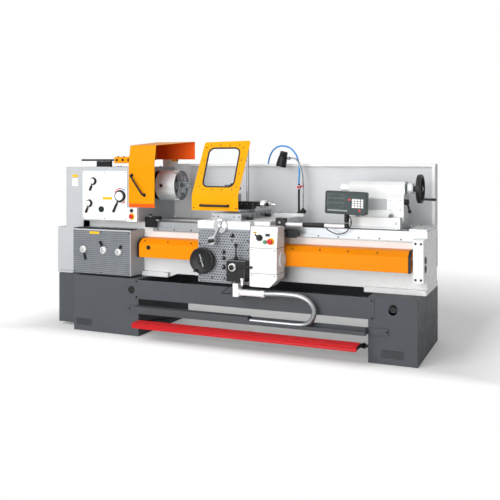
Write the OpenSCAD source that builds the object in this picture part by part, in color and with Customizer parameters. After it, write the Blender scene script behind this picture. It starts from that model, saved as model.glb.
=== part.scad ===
// Engine lathe for metal turning, about 570 mm swing and 1500 mm between centres.
// Origin: on the floor, at the centre of the four foundation bolt holes.
// +X runs along the bed towards the tailstock, +Y to the rear, +Z up. Millimetres.

/* [Base] */
// Length over both cabinets
base_l = 2750; // [2600:10:3000]
// Depth of the cabinets
base_d = 808; // [780:2:860]
// Height of the cabinets
cab_h = 445; // [430:1:450]
// Width of the headstock cabinet
left_cab_w = 610; // [590:5:630]
// Width of the tailstock cabinet
right_cab_w = 334; // [320:2:360]
// Sheet and plate thickness of the cabinets
cab_wall = 8; // [5:1:12]
// Thickness of the sole plates
sole_t = 16; // [10:1:25]
// Foundation bolt spacing along the bed
bolt_dx = 2412; // [2400:2:2430]
// Foundation bolt spacing across the bed
bolt_dy = 600; // [500:10:640]
// Foundation bolt hole diameter
bolt_hole_d = 22; // [16:1:30]
// Height of the chip tray's front panel
tray_h = 146; // [120:2:150]
// Sheet thickness of the tray
tray_t = 4; // [3:0.5:6]
// Height of the cable trough
trough_h = 48; // [40:1:60]
// Depth of the cable trough
trough_d = 66; // [56:1:70]
// Gap between the headstock cabinet and the foot brake bar
brake_gap = 65; // [50:1:80]

/* [Bed] */
// Height of the flat ways above the floor
bed_top = 873; // [868:1:878]
// Width over both ways
bed_w = 400; // [390:2:410]
// Width of one bed rail
rail_w = 105; // [90:1:115]
// Height of the V ridge on each way
vee_h = 10; // [6:1:12]
// Overhang of the bed past the right cabinet
bed_over = 25; // [10:1:40]
// Lead screw diameter
lead_d = 40; // [34:1:44]
// Feed rod diameter
feed_d = 30; // [24:1:32]

/* [Headstock] */
// Height of the spindle axis above the floor
axis_z = 1159; // [1154:1:1164]
// Length of the headstock with its belt housing
hs_l = 710; // [700:2:716]
// Spindle bore diameter
spindle_bore = 72; // [52:1:80]
// Chuck diameter
chuck_d = 250; // [230:2:260]
// Chuck body length
chuck_l = 178; // [160:2:186]
// Chuck jaw travel
jaw_travel = 20; // [10:1:24]
// Width of the chuck guard's front plate
guard_w = 237; // [220:1:245]

/* [Carriage] */
// Width of the apron
apron_w = 418; // [406:2:424]
// Width of the control box
box_w = 204; // [190:2:214]
// Width of the cross slide
cross_w = 240; // [220:2:250]
// Length of the cross slide
cross_l = 590; // [560:2:600]
// Side of the square tool post
post_w = 110; // [90:2:120]
// Diameter of the apron handwheel
wheel_d = 196; // [170:2:204]
// Width of the tool shield
shield_w = 384; // [370:2:400]

/* [Tailstock] */
// Length of the tailstock body
tail_l = 405; // [390:1:410]
// Quill diameter
quill_d = 60; // [50:1:70]
// Tailstock handwheel diameter
tail_wheel_d = 206; // [180:2:220]

/* [Hidden] */
$fn = 48;
// Gap between faces that slide past each other
slide_gap = 0.4;
// Radial clearance of shafts in their bores
run_gap = 0.05;
// Gap between curved faces of different pieces
free_gap = 0.4;
// Sheet metal thickness of guards and covers
sheet_t = 3;
// Sweep past a face, so that cuts go right through
cut = 1;

base_x0 = -base_l / 2;
base_x1 = base_l / 2;
base_y = base_d / 2;
left_cab_x1 = base_x0 + left_cab_w;
right_cab_x0 = base_x1 - right_cab_w;
bed_x1 = base_x1 + bed_over;
bed_y = bed_w / 2;
bed_foot = 40;
bed_foot_h = 35;
rail_in = bed_y - rail_w;
vee_y = bed_y - 40;

tray_z0 = cab_h - 7 - tray_h;
tray_lap = 30;
tray_lap_right = 44;
trough_z0 = 194;
trough_lap = 100;
trough_tab_h = 44;
tab_t = 8;

hs_in = 545;
hs_x1 = base_x0 + hs_in;
hs_x0 = hs_x1 - hs_l;
hs_front = -300;
hs_back = 270;
hs_top = axis_z + 150;
plate_t = 5;
hs_body_l = 536;
plate_x0 = hs_x1 - hs_body_l;
stop_panel_w = 100;
plate_x1 = hs_x1 - stop_panel_w;

feed_x0 = base_x0 - 10;
feed_l = 548;
feed_x1 = feed_x0 + feed_l;
feed_front = -base_y;
feed_z0 = cab_h + 11;
feed_z1 = 816;
feed_wall = 12;

cover_out = 250;
cover_x0 = base_x0 - cover_out;
cover_front = -290;
cover_back = 300;
cover_t = 4;
motor_cover_z0 = 24;
gear_cover_z0 = cab_h - 13;
gear_cover_z1 = feed_z1 - 4;

screw_y = -270;
screw_z = 690;
rod_z = 632;
lead_cover_x0 = feed_x1 + 20;
end_x0 = bed_x1 - 68;
end_front = -350;
end_z0 = 545;
end_in = 42;
lead_cover_x1 = end_x0 - 18;
lead_cover_front = -338;
lead_cover_z0 = 606;
lead_cover_z1 = 752;

chuck_x0 = hs_x1 + 42;
chuck_x1 = chuck_x0 + chuck_l;
jaw_w = 36;
jaw_out = 50;
spindle_pulley_d = 260;
motor_pulley_d = 150;
motor_y = 60;
motor_z = 250;
motor_shaft_d = 38;
shaft_in = 90;
spindle_d = 105;
jaw_depth = 38;
jaw_a = 30;
lever_shaft_d = 16;
stem_d = 10;
stem_l = 14;
press_travel = 4;
speed_levers = [[hs_x1 - 425, 1195], [hs_x1 - 464, 1015], [hs_x1 - 165, 1078]];
feed_levers = [[feed_x0 + 108, 652], [feed_x0 + 300, 654], [feed_x0 + 441, 645]];
sight_x = hs_x1 - 347;
sight_z = 969;
stop_x = (plate_x1 + hs_x1) / 2;
stop_front = hs_front - 22;
estop_z = 920;
jog_z = 966;
stop_block_x = hs_x1 + 23;
stop_block_w = 92;

swing_y = 190;
swing_z = hs_top + 57;
swing_pin_d = 16;
swing_lug_x = hs_x1 + 64;
pin_l = 60;
swing_rod_y = -255;
swing_rod_d = 14;
hub_x0 = hs_x1 - 246;
rod_rest_x = hs_x1 - 420;
guard_grip = [[hs_x1 - 55, 1246], [hs_x1 + 60, 1090]];
grip_d = 12;
chuck_guard_x0 = hs_x1 - 85;
chuck_guard_x1 = chuck_guard_x0 + guard_w;

belt_x0 = plate_x0 - 130;
belt_w = 60;
belt_t = 12;
belt_gap = 0.4;
belt_sides = 32;

// Carriage: the saddle rides on the ways, the apron hangs in front of the bed
saddle_x0 = -240;
saddle_x1 = 310;
saddle_front = -420;
saddle_back = 262;
saddle_z0 = bed_top + slide_gap;
saddle_lip_z = 862;
saddle_z1 = 918;
apron_x0 = saddle_x0 + 4;
apron_x1 = apron_x0 + apron_w;
apron_back = -352;
apron_z0 = 464;
box_gap = 33;
box_x0 = apron_x1 + box_gap;
box_x1 = box_x0 + box_w;
box_front = saddle_front - 80;
box_z0 = 471;
box_z1 = 893;
nut_x0 = -40;
nut_x1 = 60;
nut_z0 = 500;
cross_x = -45;
cross_y0 = -340;
cross_z0 = saddle_z1 + slide_gap;
cross_z1 = 968;
cross_crank_z = 884;
swivel_y = -60;
swivel_d = 200;
swivel_h = 22;
comp_z0 = cross_z1 + swivel_h;
comp_z1 = comp_z0 + 20;
comp_d = 100;
crank_room = 60;
top_z0 = comp_z1 + slide_gap;
top_z1 = 1046;
top_x0 = -190;
top_x1 = 118;
top_crank_z = 1028;
post_x = -128;
post_z0 = top_z1 + free_gap;
post_z1 = 1150;
shield_y = -350;
shield_x = cross_x - 90;
shield_z0 = 987;
shield_z1 = 1101;
shield_top_y = -172;
shield_top_z = 1502;
arm_x = -118;
arm_y = 222;
arm_d = 24;
arm_z = shield_top_z - 20;
hinge_y = shield_top_y + 22;
hinge_rod_d = 14;
hinge_half = 60;
wheel_x = -186;
wheel_z = 626;
crank_shaft_d = 20;
crank_in = 40;
house_x0 = 33;
house_x1 = 177;
house_front = saddle_front - 84;
house_z0 = 495;
house_z1 = 647;
joy_x = 100;
joy_y = house_front + 22;
joy_top = 756;
nut_lever_x = 85;
nut_lever_z = 600;
selector = [288, 817];
start_at = [332, 789];
estop_at = [375, 795];
panel_front = box_front - 6;
panel_reach = 26;
seat_d = 26;
dro_y = -300;
dro_pivot_x = 374;
dro_z = 903;
dro_plate_z = 884;
dro_pin_d = 18;
dro_post_d = 20;
dro_post_x = 864;
dro_w = 296;
dro_h = 160;
dro_z0 = 986;
dro_roll = 2;
rear_x0 = 92;
rear_x1 = 366;
rear_y0 = 215;
rear_y1 = 275;
rear_h = 24;
pipe_x = 316;
pipe_y = 250;
pipe_d = 16;
valve_z = 1150;
valve_pin_d = 10;
lamp_x = 350;
lamp_pivot = [232, 250, 1380];
lamp_route = [[350, 250, 962], [350, 250, 1040], [350, 250, 1120], [348, 250, 1200], [340, 250, 1270],
    [322, 250, 1328],
    [296, 250, 1366], [268, 250, 1380], [245, 250, 1380]];

// Tailstock
tail_in = 585;
tail_x0 = bed_x1 - tail_in;
tail_x1 = tail_x0 + tail_l;
tail_base_z1 = 960;
tail_top = axis_z + 50;
tail_barrel_w = 140;
quill_x0 = tail_x0 - 75;
tail_wheel_x = tail_x1 + 104;
tail_wall = 24;
tail_lever_y = -62;
tail_lever_z = 1066;
quill_room = 4;

// Splash guard behind the ways
splash_x0 = hs_x1 + 93;
splash_x1 = bed_x1 - 26;
splash_y = base_y - 8;
splash_top = 1335;
splash_z0 = 560;

// Foot brake
brake_x0 = left_cab_x1 + brake_gap;
brake_x1 = right_cab_x0 - 25;
brake_pivot_y = 24 - base_y;
brake_pivot_z = 105;
brake_pin_d = 20;
brake_front = -600;
brake_tread_d = 110;
brake_tread_z = 144;

// Routes of the cable conduit and the coolant hose, as hand chosen points
conduit_d = 38;
conduit_route = [[125, -480, 420], [220, -480, 420], [322, -480, 422], [410, -480, 427], [500, -479, 428],
    [575, -477, 423], [632, -474, 402], [668, -470, 366], [680, -464, 326], [673, -458, 286],
    [650, -452, 249], [612, -448, 226], [557, -446, 217.5], [470, -446, 216.2], [370, -446, 216.2],
    [280, -446, 216.2], [199, -446, 216.2], [130, -446, 216.2]];
hose_d = 13;
hose_route = [[316, 250, 1178], [316, 250, 1210], [315, 262, 1270], [306, 272, 1340], [280, 278, 1410],
    [235, 284, 1458], [180, 296, 1478], [120, 318, 1478], [60, 352, 1452], [15, 388, 1406],
    [-14, 414, 1340], [-26, 428, 1250], [-30, 432, 1120], [-30, 432, 960], [-30, 432, 800],
    [-30, 432, 640], [-30, 431, 520], [-30, 430, 440], [-30, 430, 400]];

// Block between two corners
module block(x0, x1, y0, y1, z0, z1) {
    translate([x0, y0, z0]) cube([x1 - x0, y1 - y0, z1 - z0]);
}

// Round bars along the three axes
module bar_x(x0, x1, y, z, d) {
    translate([x0, y, z]) rotate([0, 90, 0]) cylinder(d = d, h = x1 - x0);
}

module bar_y(x, y0, y1, z, d) {
    translate([x, y0, z]) rotate([-90, 0, 0]) cylinder(d = d, h = y1 - y0);
}

module bar_z(x, y, z0, z1, d) {
    translate([x, y, z0]) cylinder(d = d, h = z1 - z0);
}

// Outline in Y and Z drawn out along X
module prism_x(x0, x1, points) {
    translate([x0, 0, 0]) rotate([90, 0, 90]) linear_extrude(x1 - x0) polygon(points);
}

// Outline in X and Z drawn out along Y
module prism_y(y0, y1, points) {
    translate([0, y1, 0]) rotate([90, 0, 0]) linear_extrude(y1 - y0) polygon(points);
}

// Tube swept along a route: rings of points, each square to the route there
function unit(v) = v / norm(v);
function tangent(p, i) = unit(p[min(i + 1, len(p) - 1)] - p[max(i - 1, 0)]);
function side(t) = unit(cross(t, abs(t[1]) > 0.9 ? [1, 0, 0] : [0, 1, 0]));
function ring(p, i, r, n) = let (t = tangent(p, i), s = side(t), w = cross(t, s))
    [for (k = [0:n - 1]) p[i] + r * (cos(360 * k / n) * s + sin(360 * k / n) * w)];

module tube(p, d, n = 10) {
    m = len(p);
    points = [for (i = [0:m - 1]) each ring(p, i, d / 2, n)];
    walls = [for (i = [0:m - 2], k = [0:n - 1]) let (a = i * n + k, b = i * n + (k + 1) % n)
        each [[a, a + n, b], [b, a + n, b + n]]];
    first = [for (k = [1:n - 2]) [0, k, k + 1]];
    last = [for (k = [1:n - 2]) [(m - 1) * n, (m - 1) * n + k + 1, (m - 1) * n + k]];
    polyhedron(points, concat(walls, first, last));
}

// Cabinet shell on a drilled sole plate, with a lifting pocket and a cable hole in front
module cabinet(x0, x1, bolt_x, hole_x, pocket_x) {
    pocket_w = 150;
    pocket_h = 50;
    pocket_z = 44;
    hole_d = 56;
    hole_z = 358;
    pocket_depth = cab_wall / 2;
    difference() {
        block(x0, x1, -base_y, base_y, 0, cab_h);
        block(x0 + cab_wall, x1 - cab_wall, cab_wall - base_y, base_y - cab_wall, sole_t, cab_h - cab_wall);
        for (s = [-1, 1]) bar_z(bolt_x, s * bolt_dy / 2, -cut, sole_t + cut, bolt_hole_d);
        bar_y(hole_x, -base_y - cut, cab_wall + cut - base_y, hole_z, hole_d);
        block(pocket_x, pocket_x + pocket_w, -base_y - cut, pocket_depth - base_y, pocket_z,
            pocket_z + pocket_h);
    }
}

module left_cabinet() color("#5b5f63") difference() {
    cabinet(base_x0, left_cab_x1, -bolt_dx / 2, left_cab_x1 - 66, base_x0 + 24);
    bar_x(base_x0 - cut, base_x0 + cab_wall + cut, motor_y, motor_z, motor_shaft_d + 40);
    bar_x(left_cab_x1 - cab_wall - cut, left_cab_x1 + cut, brake_pivot_y, brake_pivot_z,
        brake_pin_d + 2 * run_gap);
}

module right_cabinet() color("#5b5f63") difference() {
    cabinet(right_cab_x0, base_x1, bolt_dx / 2, right_cab_x0 + right_cab_w / 2, right_cab_x0 + 90);
    bar_x(right_cab_x0 - cut, right_cab_x0 + cab_wall + cut, brake_pivot_y, brake_pivot_z,
        brake_pin_d + 2 * run_gap);
}

// Chip pan between the cabinets, its front panel lapped over them, and the hose block at the back
module chip_tray() color("#5d6165") {
    x0 = left_cab_x1 + slide_gap;
    x1 = right_cab_x0 - slide_gap;
    z1 = tray_z0 + tray_h;
    difference() {
        block(x0, x1, -base_y, base_y, tray_z0, z1);
        block(x0 + tray_t, x1 - tray_t, tray_t - base_y, base_y - tray_t, tray_z0 + tray_t, z1 + cut);
    }
    block(left_cab_x1 - tray_lap, right_cab_x0 + tray_lap_right, -base_y - tray_t, -base_y, tray_z0, z1);
    hose_end = hose_route[len(hose_route) - 1];
    block(hose_end[0] - 20, hose_end[0] + 20, base_y, hose_end[1] + 20, hose_end[2] - 50, hose_end[2]);
}

// Open trough along the front that carries the cable conduit, closed by a lid on its left half
module cable_trough() color("#64686c") {
    y1 = -base_y - tab_t;
    y0 = y1 - trough_d;
    wall = 3;
    lid_x1 = 190;
    lip_h = 26;
    block(left_cab_x1 - trough_lap, right_cab_x0 + trough_lap + tab_t * 5, y1, -base_y,
        trough_z0, trough_z0 + trough_tab_h);
    difference() {
        block(left_cab_x1, right_cab_x0, y0, y1, trough_z0, trough_z0 + trough_h);
        block(left_cab_x1 + wall, right_cab_x0 - wall, y0 + wall, y1, trough_z0 + wall,
            trough_z0 + trough_h + cut);
        block(lid_x1, right_cab_x0 - wall, y0 - cut, y0 + wall + cut, trough_z0 + lip_h,
            trough_z0 + trough_h + cut);
    }
    block(left_cab_x1, lid_x1, y0, y1, trough_z0 + trough_h, trough_z0 + trough_h + wall);
}

// Red tread on three arms, turning on a shaft between the cabinets
module brake_pedal() color("#c8202c") {
    arm_w = 14;
    arm_h = 26;
    arm_in = 2;
    skirt_h = 36;
    tread_t = 6;
    rib_h = 4;
    rib_w = 6;
    ribs = 4;
    eye = arm_h / 2;
    x1 = brake_x1;
    tread_y1 = brake_front + brake_tread_d;
    z1 = brake_tread_z + tread_t;
    bar_x(left_cab_x1 - cab_wall, right_cab_x0 + cab_wall, brake_pivot_y, brake_pivot_z, brake_pin_d);
    for (x = [brake_x0 + arm_in, (brake_x0 + x1) / 2, x1 - arm_in - arm_w])
        prism_x(x, x + arm_w, [[brake_front, brake_tread_z], [brake_front, brake_tread_z - arm_h],
            [tread_y1, brake_tread_z - arm_h], [brake_pivot_y - eye, brake_pivot_z - eye],
            [brake_pivot_y + eye, brake_pivot_z - eye], [brake_pivot_y + eye, brake_pivot_z + eye],
            [tread_y1, brake_tread_z]]);
    block(brake_x0, x1, brake_front, tread_y1, brake_tread_z, z1);
    block(brake_x0, x1, brake_front - sheet_t, brake_front, z1 - skirt_h, z1);
    for (i = [0:ribs - 1])
        translate([brake_x0, brake_front + 12 + i * brake_tread_d / ribs, z1]) cube([x1 - brake_x0, rib_w,
            rib_h]);
}

// Cast bed: two walls with way rails on top, tied by ribs, feet on the cabinets, and the end bearing bracket
module bed() color("#e9eaea") {
    x0 = base_x0 + 5;
    belly_z = 470;
    foot_in = 165;
    foot_over = 70;
    foot_gap = 2;
    slope = 60;
    rib_t = 30;
    rib_step = 300;
    rib_z0 = 560;
    rib_z1 = bed_top - 60;
    head_h = 130;
    web_t = 32;
    web_in = bed_y - web_t;
    vee_half = 14;
    for (s = [-1, 1]) {
        web_y = s > 0 ? web_in : -bed_y;
        head_y = s > 0 ? rail_in : -bed_y;
        prism_y(web_y, web_y + web_t, [[x0, cab_h], [left_cab_x1 + foot_in, cab_h],
            [left_cab_x1 + foot_in + slope, belly_z], [right_cab_x0 - foot_over, belly_z],
            [right_cab_x0 - foot_over, cab_h], [bed_x1, cab_h], [bed_x1, bed_top], [x0, bed_top]]);
        block(x0, bed_x1, head_y, head_y + rail_w, bed_top - head_h, bed_top);
        f0 = s > 0 ? bed_y : -bed_y - bed_foot;
        block(right_cab_x0 - foot_over, bed_x1, f0, f0 + bed_foot, cab_h, cab_h + bed_foot_h);
        block(s > 0 ? x0 : feed_x1 + foot_gap, left_cab_x1 + foot_in, f0, f0 + bed_foot, cab_h,
            cab_h + bed_foot_h);
        translate([0, s * vee_y, bed_top])
            prism_x(hs_x1, bed_x1, [[-vee_half, 0], [vee_half, 0], [0, vee_h]]);
    }
    for (x = [hs_x1 + rib_step / 2:rib_step:right_cab_x0])
        block(x, x + rib_t, -web_in, web_in, rib_z0, rib_z1);
    block(bed_x1 - rib_t, bed_x1, -web_in, web_in, cab_h, bed_top);
    block(x0, hs_x1, -rail_in, rail_in, bed_top - head_h, bed_top);
    difference() {
        block(end_x0, bed_x1, end_front, -bed_y, end_z0, bed_top - 44);
        bar_x(end_x0 - cut, end_x0 + end_in, screw_y, screw_z, lead_d + 2 * run_gap);
        bar_x(end_x0 - cut, end_x0 + end_in, screw_y, rod_z, feed_d + 2 * run_gap);
    }
}

// Toothed rack under the front way, for the carriage pinion
module rack() color("#b9bbbd") {
    rack_h = 26;
    rack_d = 20;
    pitch = 4 * PI;
    tooth = 9;
    x0 = left_cab_x1 + 20;
    teeth = floor((end_x0 - 4 - x0) / pitch);
    z1 = bed_top - 46;
    outline = [for (i = [0:teeth - 1]) let (x = x0 + i * pitch)
        each [[x, z1 - rack_h], [x + pitch * 0.3, z1 - rack_h], [x + pitch * 0.5, z1 - rack_h + tooth],
            [x + pitch * 0.8, z1 - rack_h + tooth]]];
    prism_y(-bed_y - rack_d, -bed_y, concat(outline, [[x0 + teeth * pitch, z1 - rack_h],
        [x0 + teeth * pitch, z1],
        [x0, z1]]));
}

// Bar between two points
module bar_between(p, q, d) {
    v = q - p;
    translate(p) rotate([0, acos(v[2] / norm(v)), atan2(v[1], v[0])]) cylinder(d = d, h = norm(v));
}

// Control lever: a shaft through the wall, a disc in front of it, and an arm with a grip
module turn_lever(x, z, front, depth, disc_d, arm_l, arm_a) {
    disc_t = 24;
    arm_t = 12;
    grip_d = 18;
    grip_share = 0.45;
    disc_y = front - free_gap - disc_t;
    bar_y(x, disc_y, front + depth, z, lever_shaft_d);
    bar_y(x, disc_y, front - free_gap, z, disc_d);
    translate([x, disc_y + disc_t / 2, z]) rotate([0, arm_a, 0]) {
        cylinder(d = arm_t, h = arm_l);
        translate([0, 0, arm_l * (1 - grip_share)]) cylinder(d = grip_d, h = arm_l * grip_share);
    }
}

// Push button: a stem in its bore and a head that stands clear by the travel
module push_button(x, z, front, head_d, head_t) {
    gap = press_travel + 1;
    bar_y(x, front - gap, front + stem_l - press_travel - 1, z, stem_d);
    bar_y(x, front - gap - head_t, front - gap, z, head_d);
}

// Gearbox casting on the bed, with its front plate and the bores for spindle and levers
module headstock() color("#d9dadb") {
    wall = 40;
    front_wall = 30;
    roof = 24;
    difference() {
        union() {
            block(plate_x0, hs_x1, hs_front, hs_back, bed_top, hs_top);
            block(plate_x0 + 2, plate_x1, hs_front - plate_t, hs_front, bed_top + 8, hs_top - 29);
        }
        block(plate_x0 + wall, hs_x1 - wall, hs_front + front_wall, hs_back - front_wall,
            bed_top + wall, hs_top - roof);
        bar_x(plate_x0 - cut, hs_x1 + cut, 0, axis_z, spindle_d + 2 * run_gap);
        for (p = speed_levers)
            bar_y(p[0], hs_front - plate_t - cut, hs_front + front_wall + cut, p[1],
                lever_shaft_d + 2 * run_gap);
    }
}

// Feed gearbox on the front of the bed, under the headstock
module feed_box() color("#8d9194") difference() {
    block(feed_x0, feed_x1, feed_front, -bed_y, feed_z0, feed_z1);
    block(feed_x0 + feed_wall, feed_x1 - feed_wall, feed_front + feed_wall, -bed_y - feed_wall,
        feed_z0 + feed_wall, feed_z1 - feed_wall);
    for (p = feed_levers)
        bar_y(p[0], feed_front - cut, feed_front + feed_wall + cut, p[1], lever_shaft_d + 2 * run_gap);
    bar_x(feed_x1 - feed_wall - cut, feed_x1 + cut, screw_y, screw_z, lead_d + 2 * run_gap);
    bar_x(feed_x1 - feed_wall - cut, feed_x1 + cut, screw_y, rod_z, feed_d + 2 * run_gap);
}

// Sheet cover over the change gears, with the belt housing above it
module gear_cover() color("#c9cbcc") {
    t = cover_t;
    difference() {
        block(cover_x0, feed_x0 - 1, cover_front, cover_back, gear_cover_z0, gear_cover_z1);
        block(cover_x0 + t, feed_x0, cover_front + t, cover_back - t, gear_cover_z0 - cut, gear_cover_z1 - t);
        block(hs_x0 + t, feed_x0, cover_front + t, hs_back - t, gear_cover_z1 - t - cut, gear_cover_z1 + cut);
    }
    difference() {
        union() {
            block(hs_x0, feed_x0 - 1, cover_front, hs_back, gear_cover_z1, feed_z1 + 1);
            block(hs_x0, plate_x0, cover_front, hs_back, feed_z1 + 1, hs_top);
        }
        block(hs_x0 + t, plate_x0 + cut, cover_front + t, hs_back - t, gear_cover_z1 - cut, hs_top - t);
        bar_x(hs_x0 - cut, hs_x0 + t + cut, 0, axis_z, spindle_bore + 8);
    }
}

// Dark cover of the belt drive beside the cabinet
module motor_cover() color("#54585c") difference() {
    t = cover_t;
    z1 = gear_cover_z0 - 4;
    block(cover_x0 + 12, base_x0, cover_front, cover_back, motor_cover_z0, z1);
    block(cover_x0 + 12 + t, base_x0 + cut, cover_front + t, cover_back - t, motor_cover_z0 + t, z1 + cut);
}

// Lead screw cover: sheet bent down from the bed, with closed ends
module leadscrew_cover() color("#f5a01a") {
    t = sheet_t;
    front = lead_cover_front;
    top = lead_cover_z1;
    bend = 40;
    ledge = 92;
    outer = [[-bed_y, top], [-bed_y - ledge, top - 4], [front, top - bend], [front, lead_cover_z0]];
    inner = [[front + t, lead_cover_z0], [front + t, top - bend - 2], [-bed_y - ledge, top - 4 - t - 1],
        [-bed_y, top - t]];
    prism_x(lead_cover_x0, lead_cover_x1, concat(outer, inner));
    for (x = [lead_cover_x0, lead_cover_x1 - t]) difference() {
        prism_x(x, x + t, concat(outer, [[-bed_y, lead_cover_z0]]));
        for (p = [[screw_z, lead_d], [rod_z, feed_d]])
            bar_x(x - cut, x + t + cut, screw_y, p[0], p[1] + 8);
    }
}

// Bright sheet behind the ways, with bent edges and a return at its left end
module splash_guard() color("#d4d6d8") {
    rim = 26;
    bracket_w = 80;
    bracket_t = 5;
    bracket_z0 = cab_h - 60;
    bracket_z1 = splash_z0 + 60;
    return_gap = 4;
    block(splash_x0, splash_x1, splash_y, splash_y + sheet_t, splash_z0, splash_top);
    block(splash_x0, splash_x1, splash_y + sheet_t - rim, splash_y, splash_top - sheet_t, splash_top);
    block(splash_x1 - sheet_t, splash_x1, splash_y - 4 * rim, splash_y, splash_z0 + 260, splash_top);
    translate([0, 0, splash_z0]) linear_extrude(splash_top - splash_z0)
        polygon([[splash_x0, splash_y + sheet_t], [splash_x0 + sheet_t, splash_y],
            [hs_x1 + return_gap + sheet_t, hs_back], [hs_x1 + return_gap, hs_back]]);
    for (x = [left_cab_x1 + 100, right_cab_x0 + 40]) {
        block(x, x + bracket_w, base_y, base_y + bracket_t, bracket_z0, bracket_z1);
        block(x, x + bracket_w, splash_y + sheet_t, base_y, splash_z0, bracket_z1);
    }
}

// Hinge and switch box of the chuck guard, its rod rest, the stop panel and the oil sight glass
module headstock_fittings() color("#e6e7e8") {
    rest_h = swing_z - swing_rod_d / 2 - free_gap;
    difference() {
        block(hs_x1 - 50, swing_lug_x - 2, swing_y - 30, swing_y + 30, hs_top, swing_z + 25);
        bar_x(swing_lug_x - pin_l, swing_lug_x, swing_y, swing_z, swing_pin_d + 2 * run_gap);
    }
    block(rod_rest_x, rod_rest_x + 130, swing_rod_y - 16, swing_rod_y + 16, hs_top, rest_h);
    difference() {
        block(plate_x1 + 2, hs_x1 - 2, stop_front, hs_front, bed_top + 4, bed_top + 116);
        for (z = [estop_z, jog_z]) bar_y(stop_x, stop_front - cut, stop_front + stem_l, z,
            stem_d + 2 * run_gap);
    }
    bar_y(sight_x, hs_front - plate_t - 8, hs_front - plate_t, sight_z, 34);
}

// Rack below the front way, and the carriage stop clamped on that way
module way_fittings() {
    rack();
    color("#222426") difference() {
        block(stop_block_x, stop_block_x + stop_block_w, -bed_y - 40, -bed_y + 64, bed_top - 40,
            bed_top + 40);
        block(stop_block_x - cut, stop_block_x + stop_block_w + cut, -bed_y, -bed_y + 64 + cut,
            bed_top - 40 - cut, bed_top);
        translate([0, -vee_y, bed_top])
            prism_x(stop_block_x - cut, stop_block_x + stop_block_w + cut, [[-16, -cut], [16, -cut], [0,
                vee_h + 2]]);
    }
    color("#222426") bar_z(stop_block_x + 40, -bed_y - 20, bed_top + 40, bed_top + 70, 22);
}

// Belt loop whose flats clear the pulley by belt_gap
function belt_inner(d) = (d + 2 * belt_gap) / cos(180 / belt_sides);

// Motor on its feet in the cabinet, and the flat belt up to the spindle pulley
module motor() {
    x0 = base_x0 + cab_wall + 12;
    body_d = 230;
    body_l = 360;
    foot_w = 200;
    color("#4a6a8a") difference() {
        union() {
            bar_x(x0, x0 + body_l, motor_y, motor_z, body_d);
            block(x0 + 60, x0 + body_l - 60, motor_y - foot_w / 2, motor_y + foot_w / 2, sole_t,
                motor_z - body_d / 4);
        }
        bar_x(x0 - cut, x0 + shaft_in + cut, motor_y, motor_z, motor_shaft_d + 2 * run_gap);
    }
    color("#2b2b2b") translate([belt_x0, 0, 0]) rotate([90, 0, 90]) linear_extrude(belt_w) difference() {
        hull() {
            translate([0, axis_z]) circle(d = belt_inner(spindle_pulley_d) + 2 * belt_t, $fn = belt_sides);
            translate([motor_y, motor_z]) circle(d = belt_inner(motor_pulley_d) + 2 * belt_t,
                $fn = belt_sides);
        }
        hull() {
            translate([0, axis_z]) circle(d = belt_inner(spindle_pulley_d), $fn = belt_sides);
            translate([motor_y, motor_z]) circle(d = belt_inner(motor_pulley_d), $fn = belt_sides);
        }
    }
}

module motor_pulley() color("#7c8084") {
    bar_x(belt_x0 - 2, belt_x0 + belt_w + 2, motor_y, motor_z, motor_pulley_d);
    bar_x(belt_x0 - 10, base_x0 + cab_wall + 12 + shaft_in, motor_y, motor_z, motor_shaft_d);
}

// Hollow spindle with its belt pulley at the left and the chuck's back plate at the right
module spindle() color("#9a9da0") difference() {
    union() {
        bar_x(belt_x0 - 20, chuck_x0, 0, axis_z, spindle_d);
        bar_x(belt_x0 - 2, belt_x0 + belt_w + 2, 0, axis_z, spindle_pulley_d);
        bar_x(hs_x1 + 6, chuck_x0, 0, axis_z, chuck_d - 14);
    }
    bar_x(belt_x0 - 20 - cut, chuck_x0 + cut, 0, axis_z, spindle_bore);
}

// Chuck body with three radial jaw ways
module chuck() color("#aeb1b4") difference() {
    bar_x(chuck_x0, chuck_x1, 0, axis_z, chuck_d);
    bar_x(chuck_x0 - cut, chuck_x1 + cut, 0, axis_z, spindle_bore);
    for (i = [0:2]) translate([0, 0, axis_z]) rotate([jaw_a + i * 120, 0, 0])
        block(chuck_x1 - jaw_depth - slide_gap, chuck_x1 + cut, -jaw_w / 2 - slide_gap, jaw_w / 2 + slide_gap,
            0, chuck_d / 2 + cut);
}

// Stepped chuck jaw, number i of three
module jaw(i) color("#b9bcbe") translate([0, 0, axis_z]) rotate([jaw_a + i * 120, 0, 0]) {
    jaw_r0 = spindle_bore / 2 - 4 + jaw_travel / 2;
    jaw_r1 = chuck_d / 2 - 1 - jaw_travel / 2;
    step = 34;
    block(chuck_x1 - jaw_depth, chuck_x1, -jaw_w / 2, jaw_w / 2, jaw_r0, jaw_r1);
    block(chuck_x1, chuck_x1 + jaw_out, -jaw_w / 2, jaw_w / 2, jaw_r0, jaw_r0 + step);
    block(chuck_x1, chuck_x1 + jaw_out / 2, -jaw_w / 2, jaw_w / 2, jaw_r0 + step, jaw_r1);
}

module jaw_1() jaw(0);
module jaw_2() jaw(1);
module jaw_3() jaw(2);

module lead_screw() color("#a8abad")
    bar_x(feed_x1 - feed_wall + 2, end_x0 + end_in - 2, screw_y, screw_z, lead_d);

module feed_rod() color("#a8abad")
    bar_x(feed_x1 - feed_wall + 2, end_x0 + end_in - 2, screw_y, rod_z, feed_d);

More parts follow.
